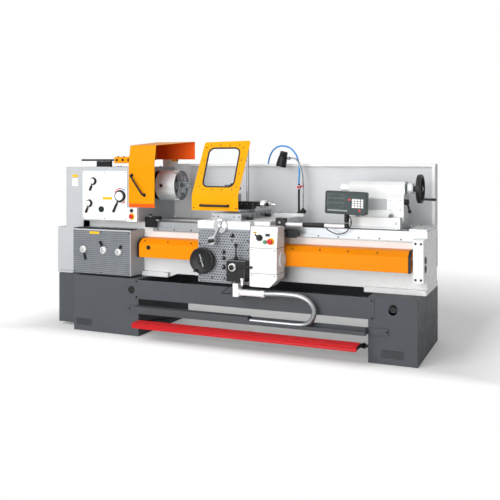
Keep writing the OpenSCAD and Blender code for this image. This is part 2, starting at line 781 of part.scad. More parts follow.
// Bent sheet guard over the chuck, with its hub, rod, hinge lug and handle
module chuck_guard() {
    t = sheet_t;
    x0 = chuck_guard_x0;
    x1 = chuck_guard_x1;
    wing = 128;
    lug_t = 12;
    grip_out = 30;
    front = hs_front - plate_t - 7;
    z0 = 1022;
    lip_y = hs_front - 5;
    lip_h = 30;
    fold_z = 1338;
    slant_y = -288;
    slant_z = 1482;
    rear_y = 120;
    rise = 5.2;
    rear_z0 = 1371;
    rear_z1 = slant_z + (rear_y - slant_y) * tan(rise);
    color("#f7a81c") {
        prism_x(x0, x1, [[front, z0], [front, fold_z], [slant_y, slant_z], [rear_y, rear_z1],
            [rear_y, rear_z1 - t], [slant_y + t / 2, slant_z - t], [front + t, fold_z - t / 2], [front + t,
                z0]]);
        prism_x(x0, x1, [[front, z0], [front + t, z0], [lip_y + t, z0 - lip_h], [lip_y, z0 - lip_h]]);
        translate([0, slant_y, slant_z - t * 0.9]) rotate([rise, 0, 0]) linear_extrude(t * 0.8)
            polygon([[x1 - t, t], [x1 + wing, rear_y - slant_y], [x1 - t, rear_y - slant_y]]);
        block(x0, x1 + wing, rear_y - t, rear_y, rear_z0, rear_z1 - t / 2);
        prism_x(x0, x0 + t, [[front + t / 2, fold_z - 14], [front + t / 2, fold_z - 1], [slant_y,
            slant_z - t / 2],
            [rear_y - t / 2, rear_z1 - t / 2], [rear_y - t / 2, rear_z0], [-150, fold_z - 14]]);
        block(hub_x0, x0, swing_rod_y - 20, swing_rod_y + 20, swing_z - 26, swing_z + 26);
        block(swing_lug_x, swing_lug_x + lug_t, rear_y - t / 2, swing_y + 14, swing_z - 12, swing_z + 34);
    }
    color("#1d1d1d") {
        bar_x(swing_lug_x - pin_l + 4, swing_lug_x + lug_t / 2, swing_y, swing_z, swing_pin_d);
        bar_x(hub_x0 - 334, hub_x0, swing_rod_y, swing_z, swing_rod_d);
        for (p = guard_grip) bar_y(p[0], front - grip_out - grip_d, front + t / 2, p[1], grip_d + 4);
        bar_between([guard_grip[0][0], front - grip_out, guard_grip[0][1]],
            [guard_grip[1][0], front - grip_out, guard_grip[1][1]], grip_d);
    }
}

module speed_lever_upper() color("#2a2a2a")
    turn_lever(speed_levers[0][0], speed_levers[0][1], hs_front - plate_t, plate_t + 20, 62, 84, -158);
module speed_lever_lower() color("#2a2a2a")
    turn_lever(speed_levers[1][0], speed_levers[1][1], hs_front - plate_t, plate_t + 20, 62, 84, -158);
module range_lever() color("#2a2a2a")
    turn_lever(speed_levers[2][0], speed_levers[2][1], hs_front - plate_t, plate_t + 20, 98, 146, -153);
module feed_lever_left() color("#e9e9e9")
    turn_lever(feed_levers[0][0], feed_levers[0][1], feed_front, feed_wall, 56, 84, 165);
module feed_lever_middle() color("#e9e9e9")
    turn_lever(feed_levers[1][0], feed_levers[1][1], feed_front, feed_wall, 56, 78, -25);
module feed_lever_right() color("#e9e9e9")
    turn_lever(feed_levers[2][0], feed_levers[2][1], feed_front, feed_wall, 56, 60, 25);

module headstock_estop() color("#d3281f") push_button(stop_x, estop_z, stop_front, 36, 14);
module jog_button() color("#1f1f1f") push_button(stop_x, jog_z, stop_front, 24, 10);

// Saddle on the ways: a bridge over the bed, a front lip over the apron, the readout's pivot pin
module saddle() color("#dfe1e2") {
    groove_half = 18;
    groove_h = vee_h + 3;
    pin_plate = 18;
    pin_reach = 24;
    difference() {
        union() {
            block(saddle_x0, saddle_x1, apron_back, saddle_back, saddle_z0, saddle_z1);
            block(saddle_x0, apron_x1, saddle_front, apron_back, saddle_lip_z, saddle_z1);
        }
        for (s = [-1, 1]) translate([0, s * vee_y, bed_top])
            prism_x(saddle_x0 - cut, saddle_x1 + cut, [[-groove_half, -cut], [groove_half, -cut], [0,
                groove_h]]);
        bar_y(cross_x, saddle_front - cut, saddle_front + crank_in, cross_crank_z,
            crank_shaft_d + 2 * run_gap);
    }
    block(saddle_x1, dro_pivot_x + pin_reach, dro_y - pin_reach, dro_y + pin_reach,
        dro_plate_z - pin_plate, dro_plate_z);
    bar_z(dro_pivot_x, dro_y, dro_plate_z, dro_z + 26, dro_pin_d);
}

// Apron casting in front of the bed, the nut block that reaches under the cover, and the lever housing
module apron() color("#8b8f92") {
    wall = 14;
    difference() {
        union() {
            block(apron_x0, apron_x1, saddle_front, apron_back, apron_z0, saddle_lip_z);
            block(house_x0, house_x1, house_front, saddle_front, house_z0, house_z1);
        }
        block(apron_x0 + wall, apron_x1 - wall, saddle_front + wall, apron_back - wall, apron_z0 + wall,
            saddle_lip_z - wall);
        bar_y(wheel_x, saddle_front - cut, saddle_front + wall + cut, wheel_z, crank_shaft_d + 2 * run_gap);
        bar_y(nut_lever_x, house_front - cut, saddle_front + wall + cut, nut_lever_z,
            lever_shaft_d + 2 * run_gap);
    }
    difference() {
        union() {
            block(nut_x0, nut_x1, apron_back, -bed_y - 15, nut_z0, lead_cover_z0 - 10);
            block(nut_x0, nut_x1, lead_cover_front + 20, -bed_y - 15, nut_z0, screw_z + 28);
        }
        bar_x(nut_x0 - cut, nut_x1 + cut, screw_y, screw_z, lead_d + 2 * free_gap);
        bar_x(nut_x0 - cut, nut_x1 + cut, screw_y, rod_z, feed_d + 2 * free_gap);
    }
    start = conduit_route[0];
    block(start[0] - 40, start[0], start[1] - 24, saddle_front, start[2] - 31, apron_z0 + 20);
}

// Electrical box beside the apron, its panel leaning back, its lower right corner cut off
module control_box() color("#eceded") {
    wall = 6;
    lean = 22;
    panel_z = 745;
    corner = 56;
    difference() {
        intersection() {
            prism_x(box_x0, box_x1, [[apron_back, box_z0], [box_front, box_z0], [box_front, panel_z],
                [box_front + lean, box_z1], [apron_back, box_z1]]);
            prism_y(box_front, apron_back, [[box_x0, box_z0], [box_x1 - corner, box_z0], [box_x1,
                box_z0 + corner],
                [box_x1, box_z1], [box_x0, box_z1]]);
        }
        block(box_x0 + wall, box_x1 - corner, box_front + lean + 2, apron_back - wall, box_z0 + wall,
            box_z1 - wall);
        bar_y(selector[0], box_front - cut, box_front + lean + 3, selector[1], lever_shaft_d + 2 * run_gap);
        for (p = [start_at, estop_at])
            bar_y(p[0], box_front - cut, box_front + stem_l, p[1], stem_d + 2 * run_gap);
    }
    block(apron_x1, box_x0, saddle_front + 10, apron_back - 10, box_z0 + 40, saddle_lip_z - 20);
    for (p = [selector, start_at, estop_at]) difference() {
        bar_y(p[0], panel_front, box_front + lean, p[1], seat_d);
        bar_y(p[0], panel_front - cut, box_front + lean + cut, p[1], lever_shaft_d + 2 * run_gap);
    }
}

// Cross slide, with the shield's post and arm at its back
module cross_slide() {
    color("#6d7174") {
        block(cross_x - cross_w / 2, cross_x + cross_w / 2, cross_y0, cross_y0 + cross_l, cross_z0, cross_z1);
    }
    color("#3a3c3e") {
        block(arm_x - 30, arm_x + 30, arm_y - 24, arm_y + 24, cross_z1, cross_z1 + 16);
        bar_z(arm_x, arm_y, cross_z1 + 16, arm_z + arm_d / 2, arm_d);
        bar_y(arm_x, hinge_y, arm_y, arm_z, arm_d);
        bar_x(arm_x - hinge_half, arm_x + hinge_half, hinge_y, arm_z, hinge_rod_d);
    }
}

// Ball crank on a dial: shaft along Y at the origin, arm at angle a
module crank(dial_d, dial_t, arm_l, a, shaft_l, shaft_d, knob_l) {
    hub_d = 34;
    arm_t = 14;
    ball_d = 30;
    hub_l = 26;
    bar_y(0, -free_gap, shaft_l, 0, shaft_d);
    bar_y(0, -dial_t - free_gap, -free_gap, 0, dial_d);
    bar_y(0, -dial_t - hub_l, -dial_t, 0, hub_d);
    rotate([0, a, 0]) translate([0, -dial_t - hub_l / 2, 0]) {
        cylinder(d = arm_t, h = arm_l);
        translate([0, 0, arm_l]) sphere(d = ball_d);
        translate([0, 0, -arm_l * 0.4]) cylinder(d = arm_t, h = arm_l * 0.4);
        translate([0, 0, -arm_l * 0.4]) sphere(d = ball_d * 0.8);
        bar_y(0, -knob_l, 0, arm_l, ball_d * 0.7);
    }
}

module cross_crank() color("#c9cccf") translate([cross_x, saddle_front, cross_crank_z])
    crank(104, 30, 118, -154, crank_in - 2, crank_shaft_d, 52);

module top_crank() color("#c9cccf") translate([top_x1, swivel_y, top_crank_z]) rotate([0, 0, 90])
    crank(64, 54, 40, -90, crank_in - 2, crank_shaft_d, 70);

module compound_base() color("#55595c") {
    bar_z(cross_x, swivel_y, cross_z1 + slide_gap, comp_z0, swivel_d);
    block(top_x0 + 20, top_x1 - crank_room, swivel_y - comp_d / 2, swivel_y + comp_d / 2, comp_z0, comp_z1);
}

module top_slide() color("#2c2e30") difference() {
    block(top_x0, top_x1, swivel_y - comp_d / 2, swivel_y + comp_d / 2, top_z0, top_z1);
    bar_x(top_x1 - crank_in, top_x1 + cut, swivel_y, top_crank_z, crank_shaft_d + 2 * run_gap);
}

// Four way tool post with its tool slots and clamp screws
module tool_post() color("#85898c") {
    slot_z = axis_z - 58;
    slot_h = 32;
    slot_in = 24;
    screw_d = 14;
    screw_h = 16;
    w = post_w / 2;
    difference() {
        block(post_x - w, post_x + w, swivel_y - w, swivel_y + w, post_z0, post_z1);
        for (a = [0:90:270]) translate([post_x, swivel_y, 0]) rotate([0, 0, a])
            block(-w - cut, w + cut, -w - cut, slot_in - w, slot_z, slot_z + slot_h);
    }
    for (a = [0:90:270], s = [-1, 1]) translate([post_x, swivel_y, 0]) rotate([0, 0, a])
        bar_z(s * post_w * 0.24, 14 - w, post_z1, post_z1 + screw_h, screw_d);
}

module post_lever() color("#1e1e1e") {
    hub_h = 34;
    z0 = post_z1 + free_gap;
    bar_z(post_x, swivel_y, z0, z0 + hub_h, 40);
    tip = [post_x + 66, swivel_y - 20, z0 + 64];
    bar_between([post_x, swivel_y, z0 + hub_h - 10], tip, 12);
    translate(tip) sphere(d = 26);
}

// Rounded rectangle as an outline
module round_rect(w, h, r) {
    translate([-w / 2 + r, -h / 2]) square([w - 2 * r, h]);
    translate([-w / 2, -h / 2 + r]) square([w, h - 2 * r]);
    for (x = [-1, 1], y = [-1, 1]) translate([x * (w / 2 - r), y * (h / 2 - r)]) circle(r = r);
}

// Tool shield: a leaning sheet with a window over a straight lower sheet, hung on two lugs
module tool_shield() color("#f8b51a") {
    t = sheet_t;
    half = shield_w / 2;
    lean = atan2(shield_top_y - shield_y, shield_top_z - shield_z1);
    length = norm([shield_top_y - shield_y, shield_top_z - shield_z1]);
    skew = 22;
    rise = 10;
    window_w = 262;
    window_h = 322;
    window_r = 46;
    window_at = [skew / 2, length / 2 + 9];
    lug_y = shield_top_y - (shield_top_z - arm_z + 14) * tan(lean) - 1;
    bar_half = 120;
    bar_out = 22;
    bar_h = 38;
    prism_y(shield_y - t, shield_y, [[shield_x - half, shield_z0], [shield_x + half, shield_z0],
        [shield_x + half, shield_z1], [shield_x - half, shield_z1]]);
    translate([shield_x, shield_y, shield_z1]) rotate([90 - lean, 0, 0]) {
        linear_extrude(t) difference() {
            polygon([[-half, 0], [half, 0], [half + skew, length + rise], [skew - half, length]]);
            translate(window_at) round_rect(window_w, window_h, window_r);
        }
        translate([window_at[0], window_at[1], t * 0.25]) linear_extrude(t * 0.5)
            round_rect(window_w, window_h, window_r);
    }
    for (s = [-1, 1]) difference() {
        x = arm_x + s * (hinge_half - 14);
        prism_x(x - 7, x + 7, [[lug_y, arm_z - 14], [hinge_y + 14, arm_z - 14],
            [hinge_y + 14, shield_top_z - 3], [shield_top_y - 2, shield_top_z - 3]]);
        bar_x(x - 8, x + 8, hinge_y, arm_z, hinge_rod_d + 2 * run_gap);
    }
    for (s = [-1, 1])
        bar_y(shield_x + s * (bar_half - 8), shield_y - t - bar_out, shield_y - t / 2, shield_z0 + bar_h,
            grip_d - 3);
    bar_x(shield_x - bar_half, shield_x + bar_half, shield_y - t - bar_out, shield_z0 + bar_h, grip_d);
}

// Handwheel about the Y axis at the origin: rim, web, hub, shaft and handle
module hand_wheel(d, rim, depth, shaft_l, shaft_d, handle_l) {
    bar_y(0, -depth, shaft_l, 0, shaft_d);
    bar_y(0, -depth, -free_gap, 0, shaft_d * 2);
    translate([0, -depth, 0]) rotate([90, 0, 0]) {
        difference() {
            cylinder(d = d, h = rim);
            translate([0, 0, -cut]) cylinder(d = d - 2 * rim, h = rim + 2 * cut);
        }
        translate([0, 0, rim * 0.25]) cylinder(d = d - rim, h = rim * 0.4);
        cylinder(d = shaft_d * 2, h = rim);
        translate([d / 2 - rim, 0, rim * 0.5]) cylinder(d = rim, h = handle_l);
    }
}

module apron_wheel() color("#18191a") translate([wheel_x, saddle_front, wheel_z])
    rotate([0, 115, 0]) hand_wheel(wheel_d, 20, 30, 12, crank_shaft_d, 58);

module feed_joystick() color("#1a1a1a") {
    hub_d = 24;
    hub_l = 28;
    z0 = house_z1 + free_gap + hub_d / 2;
    bar_x(joy_x - hub_l / 2, joy_x + hub_l / 2, joy_y, z0, hub_d);
    bar_z(joy_x, joy_y, z0, joy_top, 11);
    translate([joy_x, joy_y, joy_top]) sphere(d = 28);
}

module half_nut_lever() color("#e4e4e4")
    turn_lever(nut_lever_x, nut_lever_z, house_front, 30, 58, 156, 87);

module selector_switch() color("#1c1c1c")
    turn_lever(selector[0], selector[1], panel_front, panel_reach, 30, 38, -45);

module start_button() color("#2b9a46") push_button(start_at[0], start_at[1], panel_front, 20, 8);
module panel_estop() color("#d3281f") push_button(estop_at[0], estop_at[1], panel_front, 38, 14);

module cable_conduit() color("#b4b7ba") tube(conduit_route, conduit_d);

// Readout arm on the saddle's pin, with the post at its far end
module readout_arm() color("#d8dadb") {
    half = 22;
    difference() {
        block(dro_pivot_x - half, dro_pivot_x + half, dro_y - half, dro_y + half, dro_plate_z + slide_gap,
            dro_z + 22);
        bar_z(dro_pivot_x, dro_y, dro_plate_z - cut, dro_z + 22 + cut, dro_pin_d + 2 * run_gap);
    }
    bar_x(dro_pivot_x + half, dro_post_x, dro_y, dro_z, 24);
    bar_z(dro_post_x, dro_y, dro_z - 15, dro_z0 - 4, dro_post_d);
    bar_z(dro_post_x, dro_y, dro_z - 16, dro_z + 24, dro_post_d + 14);
}

module readout() color("#3d4a49") difference() {
    depth = 50;
    union() {
        translate([dro_post_x, dro_y, dro_z0 + dro_h / 2]) rotate([0, dro_roll, 0])
            cube([dro_w, depth, dro_h], center = true);
        bar_z(dro_post_x, dro_y, dro_z + 24 + free_gap, dro_z0 + 10, dro_post_d + 14);
    }
    bar_z(dro_post_x, dro_y, dro_z, dro_z0 - 4 + free_gap, dro_post_d + 2 * run_gap);
}

// Bracket at the back of the saddle with the coolant pipe, its valve and the lamp's neck
module coolant_stand() color("#e3e5e6") {
    z1 = saddle_z1 + rear_h;
    block(rear_x0, rear_x1, rear_y0, rear_y1, saddle_z1, z1);
    bar_z(pipe_x, pipe_y, z1, hose_route[0][2], pipe_d);
    difference() {
        bar_y(pipe_x, pipe_y - 16, pipe_y + 16, valve_z, 30);
        bar_y(pipe_x, pipe_y - 17, pipe_y - 6, valve_z, valve_pin_d + 2 * run_gap);
    }
    bar_z(lamp_x, pipe_y, z1, z1 + 22, 42);
    tube(lamp_route, 14);
}

// Lamp: a tapered shade on a ball at the end of the neck
module lamp_head() color("#1b1c1d") translate(lamp_pivot) {
    tilt = 14;
    bar_y(0, -14, 14, 0, 24);
    bar_x(-30, 0, 0, 0, 14);
    translate([-56, 0, -6]) rotate([0, tilt, 0]) {
        difference() {
            translate([0, 0, -62]) cylinder(d1 = 86, d2 = 62, h = 124);
            translate([0, 0, -62 - cut]) cylinder(d1 = 78, d2 = 70, h = 62);
        }
    }
}

module valve_handle() color("#c8202c") {
    y = pipe_y - 16 - free_gap;
    bar_y(pipe_x, y - 12, y + 8, valve_z, valve_pin_d);
    bar_y(pipe_x, y - 12, y, valve_z, 18);
    bar_between([pipe_x, y - 6, valve_z], [pipe_x + 44, y - 6, valve_z + 10], 9);
}

module coolant_hose() color("#2f8fd0") tube(hose_route, hose_d, 8);

// Tailstock: base on the ways, body, and barrel bored for the quill
module tailstock() color("#e9eaeb") {
    groove_half = 18;
    groove_h = vee_h + 3;
    base_half = 168;
    body_half = 104;
    side = tail_barrel_w / 2;
    difference() {
        union() {
            block(tail_x0 + 12, tail_x1 - 12, -base_half, base_half, bed_top + slide_gap, tail_base_z1);
            prism_x(tail_x0, tail_x1, [[-body_half, tail_base_z1 - 30], [-body_half, axis_z - 62], [-side,
                axis_z - 30],
                [-side, tail_top - 22], [22 - side, tail_top], [side - 22, tail_top], [side, tail_top - 22],
                [side, axis_z - 30], [body_half, axis_z - 62], [body_half, tail_base_z1 - 30]]);
        }
        for (s = [-1, 1]) translate([0, s * vee_y, bed_top])
            prism_x(tail_x0, tail_x1, [[-groove_half, -cut], [groove_half, -cut], [0, groove_h]]);
        bar_x(tail_x0 - cut, tail_x1 - tail_wall, 0, axis_z, quill_d + 2 * run_gap);
        bar_x(tail_x1 - tail_wall - cut, tail_x1 + cut, 0, axis_z, crank_shaft_d + 2 * run_gap);
        bar_x(tail_x1 - tail_wall, tail_x1 + cut, tail_lever_y, tail_lever_z, lever_shaft_d + 2 * run_gap);
    }
}

module tailstock_quill() color("#b9bcbe") {
    point_l = 46;
    bar_x(quill_x0 + point_l, tail_x1 - tail_wall - quill_room, 0, axis_z, quill_d);
    translate([quill_x0, 0, axis_z]) rotate([0, 90, 0]) cylinder(d1 = 3, d2 = 38, h = point_l);
}

module tailstock_wheel() color("#1c1d1e") translate([tail_x1, 0, axis_z]) rotate([0, 0, 90]) rotate([0,
    120, 0])
    hand_wheel(tail_wheel_d, 20, tail_wheel_x - tail_x1 - 10, tail_wall - 2, crank_shaft_d, 112);

module tailstock_lever() color("#1c1d1e") translate([tail_x1, tail_lever_y, tail_lever_z]) {
    hub_l = 30;
    bar_x(2 - tail_wall, free_gap, 0, 0, lever_shaft_d);
    bar_x(free_gap, free_gap + hub_l, 0, 0, 40);
    tip = [hub_l + 14, -52, -62];
    bar_between([hub_l / 2, 0, 0], tip, 14);
    translate(tip) sphere(d = 26);
}

left_cabinet();
right_cabinet();
chip_tray();
cable_trough();
brake_pedal();
bed();
way_fittings();
headstock();
feed_box();
gear_cover();
motor_cover();
leadscrew_cover();
splash_guard();
headstock_fittings();
motor();
motor_pulley();
spindle();
chuck();
jaw_1();
jaw_2();
jaw_3();
lead_screw();
feed_rod();
chuck_guard();
speed_lever_upper();
speed_lever_lower();
range_lever();
feed_lever_left();
feed_lever_middle();
feed_lever_right();
headstock_estop();
jog_button();
saddle();
apron();
control_box();
cable_conduit();
cross_slide();
cross_crank();
compound_base();
top_slide();
top_crank();
tool_post();
post_lever();
tool_shield();
apron_wheel();
feed_joystick();
half_nut_lever();
selector_switch();
start_button();
panel_estop();
readout_arm();
readout();
coolant_stand();
lamp_head();
valve_handle();
coolant_hose();
tailstock();
tailstock_quill();
tailstock_wheel();
tailstock_lever();
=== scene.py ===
import math

import bmesh
import bpy
from mathutils import Matrix, Vector


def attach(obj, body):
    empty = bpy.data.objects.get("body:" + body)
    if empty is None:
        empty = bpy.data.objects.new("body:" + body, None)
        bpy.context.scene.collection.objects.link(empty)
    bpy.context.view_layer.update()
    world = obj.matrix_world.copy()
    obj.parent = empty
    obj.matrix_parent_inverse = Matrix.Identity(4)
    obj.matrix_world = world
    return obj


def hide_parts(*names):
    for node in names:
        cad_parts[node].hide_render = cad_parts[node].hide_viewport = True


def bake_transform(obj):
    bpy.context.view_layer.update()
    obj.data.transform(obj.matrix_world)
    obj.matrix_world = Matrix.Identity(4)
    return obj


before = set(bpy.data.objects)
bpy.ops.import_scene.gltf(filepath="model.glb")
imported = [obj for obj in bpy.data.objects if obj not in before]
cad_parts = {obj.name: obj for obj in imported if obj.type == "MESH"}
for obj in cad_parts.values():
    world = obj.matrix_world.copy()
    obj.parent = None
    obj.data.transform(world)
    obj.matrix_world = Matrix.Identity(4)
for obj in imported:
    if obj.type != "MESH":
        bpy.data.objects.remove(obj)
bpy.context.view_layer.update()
scene = bpy.context.scene
scene.view_settings.view_transform = "Standard"
mm = 0.001  # every shape below is drawn in millimetres, as the CAD is
toRight, toLeft, toFront, toRear, upward = (1, 0, 0), (-1, 0, 0), (0, -1, 0), (0, 1, 0), (0, 0, 1)


# camera

cameraSet = {"place": (2.2448, -5.1495, 1.350), "turn": 23.56, "lens": 51.7, "sensor": 36, "drop": -0.176}


def makeCamera(s):
    data = bpy.data.cameras.new("photoCamera")
    data.lens = s["lens"]
    data.sensor_width = s["sensor"]
    data.shift_y = s["drop"]  # the horizon sits above the middle of the frame
    cam = bpy.data.objects.new("photoCamera", data)
    scene.collection.objects.link(cam)
    cam.location = s["place"]
    cam.rotation_euler = (math.radians(90), 0, math.radians(s["turn"]))
    scene.camera = cam


makeCamera(cameraSet)
print("camera set")


# finishes

def tone(code):
    parts = [int(code[i:i + 2], 16) / 255 for i in (1, 3, 5)]
    return tuple(p / 12.92 if p <= 0.04045 else ((p + 0.055) / 1.055) ** 2.4 for p in parts) + (1,)


def shade(colour, factor):
    return tuple(min(1, c * factor) for c in colour[:3]) + (1,)


class Finish:
    def __init__(self, name):
        self.mat = bpy.data.materials.new(name)
        self.mat.use_nodes = True
        self.tree = self.mat.node_tree
        self.shader = self.tree.nodes["Principled BSDF"]
        self.coord = self.add("ShaderNodeTexCoord").outputs["Object"]

    def add(self, kind, **values):
        node = self.tree.nodes.new(kind)
        for key, value in values.items():
            if hasattr(node, key):
                setattr(node, key, value)
            else:
                node.inputs[key.replace("_", " ")].default_value = value
        return node

    def link(self, a, b):
        self.tree.links.new(a, b)

    def stretched(self, scale):
        node = self.add("ShaderNodeMapping")
        node.inputs["Scale"].default_value = scale
        self.link(self.coord, node.inputs["Vector"])
        return node.outputs["Vector"]

    def noise(self, scale, detail=3, vector=None):
        node = self.add("ShaderNodeTexNoise", Scale=scale, Detail=detail)
        self.link(vector or self.coord, node.inputs["Vector"])
        return node.outputs["Fac"]

    def spread(self, value, low, high, start=0.3, end=0.7):
        node = self.add("ShaderNodeMapRange")
        for key, number in (("From Min", start), ("From Max", end), ("To Min", low), ("To Max", high)):
            node.inputs[key].default_value = number
        self.link(value, node.inputs["Value"])
        return node.outputs["Result"]

    def math(self, what, a, b=None):
        node = self.add("ShaderNodeMath", operation=what)
        for i, v in enumerate((a, b)):
            if isinstance(v, (int, float)):
                node.inputs[i].default_value = v
            elif v is not None:
                self.link(v, node.inputs[i])
        return node.outputs["Value"]

    def mix(self, fac, a, b):
        node = self.add("ShaderNodeMix", data_type="RGBA")
        self.link(fac, node.inputs["Factor"])
        for key, v in (("A", a), ("B", b)):
            socket = [s for s in node.inputs if s.name == key and s.type == "RGBA"][0]
            if isinstance(v, tuple):
                socket.default_value = v
            else:
                self.link(v, socket)
        return [s for s in node.outputs if s.type == "RGBA"][0]

    def bump(self, height, strength, depth=0.001, under=None):
        node = self.add("ShaderNodeBump")
        node.inputs["Strength"].default_value = strength
        node.inputs["Distance"].default_value = depth
        self.link(height, node.inputs["Height"])
        if under:
            self.link(under, node.inputs["Normal"])
        self.link(node.outputs["Normal"], self.shader.inputs["Normal"])
        return node.outputs["Normal"]

    def colour(self, socket):
        self.link(socket, self.shader.inputs["Base Color"])

    def rough(self, socket):
        self.link(socket, self.shader.inputs["Roughness"])


def paintFinish(name, code, rough=0.36, drift=0.05, peel=0.12, shine=0.25):
    f = Finish(name)
    base = tone(code)
    cloud = f.noise(2.4, 4)
    f.colour(f.mix(f.spread(cloud, 0, 1), shade(base, 1 - drift), shade(base, 1 + drift * 0.5)))
    f.rough(f.spread(f.noise(17, 5), rough - 0.05, rough + 0.09))
    f.bump(f.noise(520, 2), peel, 0.0004)  # orange peel of sprayed paint
    f.shader.inputs["Specular IOR Level"].default_value = shine
    return f.mat


def steelFinish(name, code, rough=0.28, grain=(6, 240, 240), marks=0.5, metal=1.0):
    f = Finish(name)
    base = tone(code)
    streak = f.noise(9, 6, f.stretched(grain))  # grinding lines run along the short scale
    f.colour(f.mix(f.spread(streak, 0, 1), shade(base, 0.8), shade(base, 1.08)))
    f.rough(f.spread(streak, rough - 0.07, rough + 0.12))
    f.bump(streak, marks * 0.25, 0.0003)
    f.shader.inputs["Metallic"].default_value = metal
    return f.mat


def plasticFinish(name, code, rough=0.4, grain=0.18, drift=0.08, shine=0.3):
    f = Finish(name)
    base = tone(code)
    f.colour(f.mix(f.spread(f.noise(30, 3), 0, 1), shade(base, 1 - drift), shade(base, 1 + drift)))
    f.rough(f.spread(f.noise(60, 4), rough - 0.06, rough + 0.1))
    f.bump(f.noise(900, 2), grain, 0.0003)  # fine moulded grain
    f.shader.inputs["Specular IOR Level"].default_value = shine
    return f.mat


def pressedFinish(name, code, pitch, dash):
    # panel with rows of small pressed dashes, every second row set over by half a pitch
    f = Finish(name)
    split = f.add("ShaderNodeSeparateXYZ")
    f.link(f.coord, split.inputs["Vector"])
    row = f.math("DIVIDE", split.outputs["Z"], pitch[1])
    shift = f.math("MULTIPLY", f.math("MODULO", f.math("FLOOR", f.math("ADD", row, 1000)), 2), 0.5)
    along = f.math("ADD", f.math("DIVIDE", split.outputs["X"], pitch[0]), shift)
    dx = f.math("ABSOLUTE", f.math("SUBTRACT", f.math("FRACT", f.math("ADD", along, 1000)), 0.5))
    dz = f.math("ABSOLUTE", f.math("SUBTRACT", f.math("FRACT", f.math("ADD", row, 1000)), 0.5))
    ex = f.math("DIVIDE", dx, dash[0])
    ez = f.math("DIVIDE", dz, dash[1])
    away = f.math("SQRT", f.math("ADD", f.math("MULTIPLY", ex, ex), f.math("MULTIPLY", ez, ez)))
    inside = f.spread(away, 1, 0, 0.8, 1.05)
    base = tone(code)
    ground = f.mix(f.spread(f.noise(12, 4), 0, 1), shade(base, 0.9), shade(base, 1.12))
    # the dashes are painted dark: painted shade in the pressed dents
    f.colour(f.mix(inside, ground, shade(base, 0.24)))
    f.rough(f.spread(f.noise(25, 4), 0.34, 0.5))
    f.bump(inside, 0.5, -0.0012)
    f.shader.inputs["Metallic"].default_value = 0.25
    return f.mat


def clearFinish(name):
    f = Finish(name)
    smear = f.noise(5, 5)
    f.rough(f.spread(smear, 0.02, 0.09))
    f.bump(smear, 0.02, 0.0004)
    f.shader.inputs["Base Color"].default_value = (0.97, 0.985, 0.98, 1)
    f.shader.inputs["Transmission Weight"].default_value = 1.0
    f.shader.inputs["IOR"].default_value = 1.08  # thin polycarbonate sheet, hardly bends the view
    return f.mat


finishes = {
    "cabinet": paintFinish("cabinetGrey", "#525559", 0.42, 0.06, 0.12, 0.05),
    # dark grey for joint lines, and painted shade in the lift pockets and louvre slots
    "cabinetDark": paintFinish("jointAndShadeGrey", "#3b3e41", 0.5, 0.06),
    "white": paintFinish("machineWhite", "#e6e7e7", 0.3, 0.025, 0.1, 0.4),
    "plate": paintFinish("plateWhite", "#f0f0ef", 0.38, 0.02, 0.05),
    "lightGrey": paintFinish("lightGrey", "#b4b7ba", 0.36, 0.04),
    "paleSheet": paintFinish("paleSheet", "#d6d8db", 0.4, 0.03, 0.06),
    "midGrey": paintFinish("midGrey", "#9a9ea2", 0.36, 0.05),
    "yellow": paintFinish("guardYellow", "#e28f04", 0.4, 0.04, 0.1, 0.08),
    "shieldYellow": paintFinish("shieldYellow", "#eba003", 0.4, 0.04, 0.1, 0.08),
    "orange": paintFinish("coverOrange", "#ee8a04", 0.4, 0.04, 0.1, 0.08),
    # darker orange-red copy of the guard yellow: painted shade on the guard's inner faces and lip
    "guardInsideShade": paintFinish("guardInsideShade", "#ec5c1a", 0.45, 0.07, 0.12, 0.08),
    "red": paintFinish("brakeRed", "#b80a14", 0.42, 0.02, 0.02),
    "motor": paintFinish("motorBlue", "#3d5b7c", 0.4, 0.06),
    "steel": steelFinish("groundSteel", "#a2a5a8", 0.3, (8, 260, 260), 0.5, 0.8),
    "turned": steelFinish("turnedSteel", "#eef6f9", 0.32, (420, 30, 30), 0.5, 0.35),
    "slideLight": steelFinish("slideLight", "#a9acaf", 0.4, (10, 220, 220), 0.5, 0.6),
    "darkSteel": steelFinish("slideSteel", "#6e7276", 0.34, (10, 220, 220)),
    "black": steelFinish("blackenedSteel", "#1f2022", 0.38, (60, 60, 60), 0.4, 0.7),
    "chrome": steelFinish("chromePlate", "#d6d8da", 0.1, (30, 30, 30), 0.1),
    "zinc": steelFinish("screwZinc", "#8b8e91", 0.32, (90, 90, 90)),
    "conduit": steelFinish("conduitSteel", "#9b9ea2", 0.3, (40, 40, 40), 0.2, 0.8),
    "blackPlastic": plasticFinish("blackPlastic", "#0f1011", 0.44),
    "whitePlastic": plasticFinish("whitePlastic", "#ececea", 0.32),
    "redPlastic": plasticFinish("redPlastic", "#d01c1a", 0.28),
    "greenPlastic": plasticFinish("greenPlastic", "#1f9a48", 0.3),
    "bluePlastic": plasticFinish("bluePlastic", "#2c6fc0", 0.34),
    "yellowPlastic": plasticFinish("yellowPlastic", "#f2b705", 0.36),
    "readout": plasticFinish("readoutGrey", "#2a3839", 0.42),
    "readoutRim": plasticFinish("readoutRim", "#232a2b", 0.45),
    "screen": plasticFinish("screenDark", "#1d2b2a", 0.16, 0.02),
    "rubber": plasticFinish("blackRubber", "#1b1b1c", 0.62, 0.4),
    "hose": plasticFinish("hoseBlue", "#2791dc", 0.3, 0.06),
    "pressed": pressedFinish("pressedPanel", "#75797e", (0.0180, 0.0155), (0.32, 0.24)),
    "pressedDark": pressedFinish("pressedApron", "#868a8f", (0.0215, 0.0185), (0.34, 0.3)),
    "clear": clearFinish("clearSheet"),
}
print("finishes made:", len(finishes))


# shapes, all in millimetres

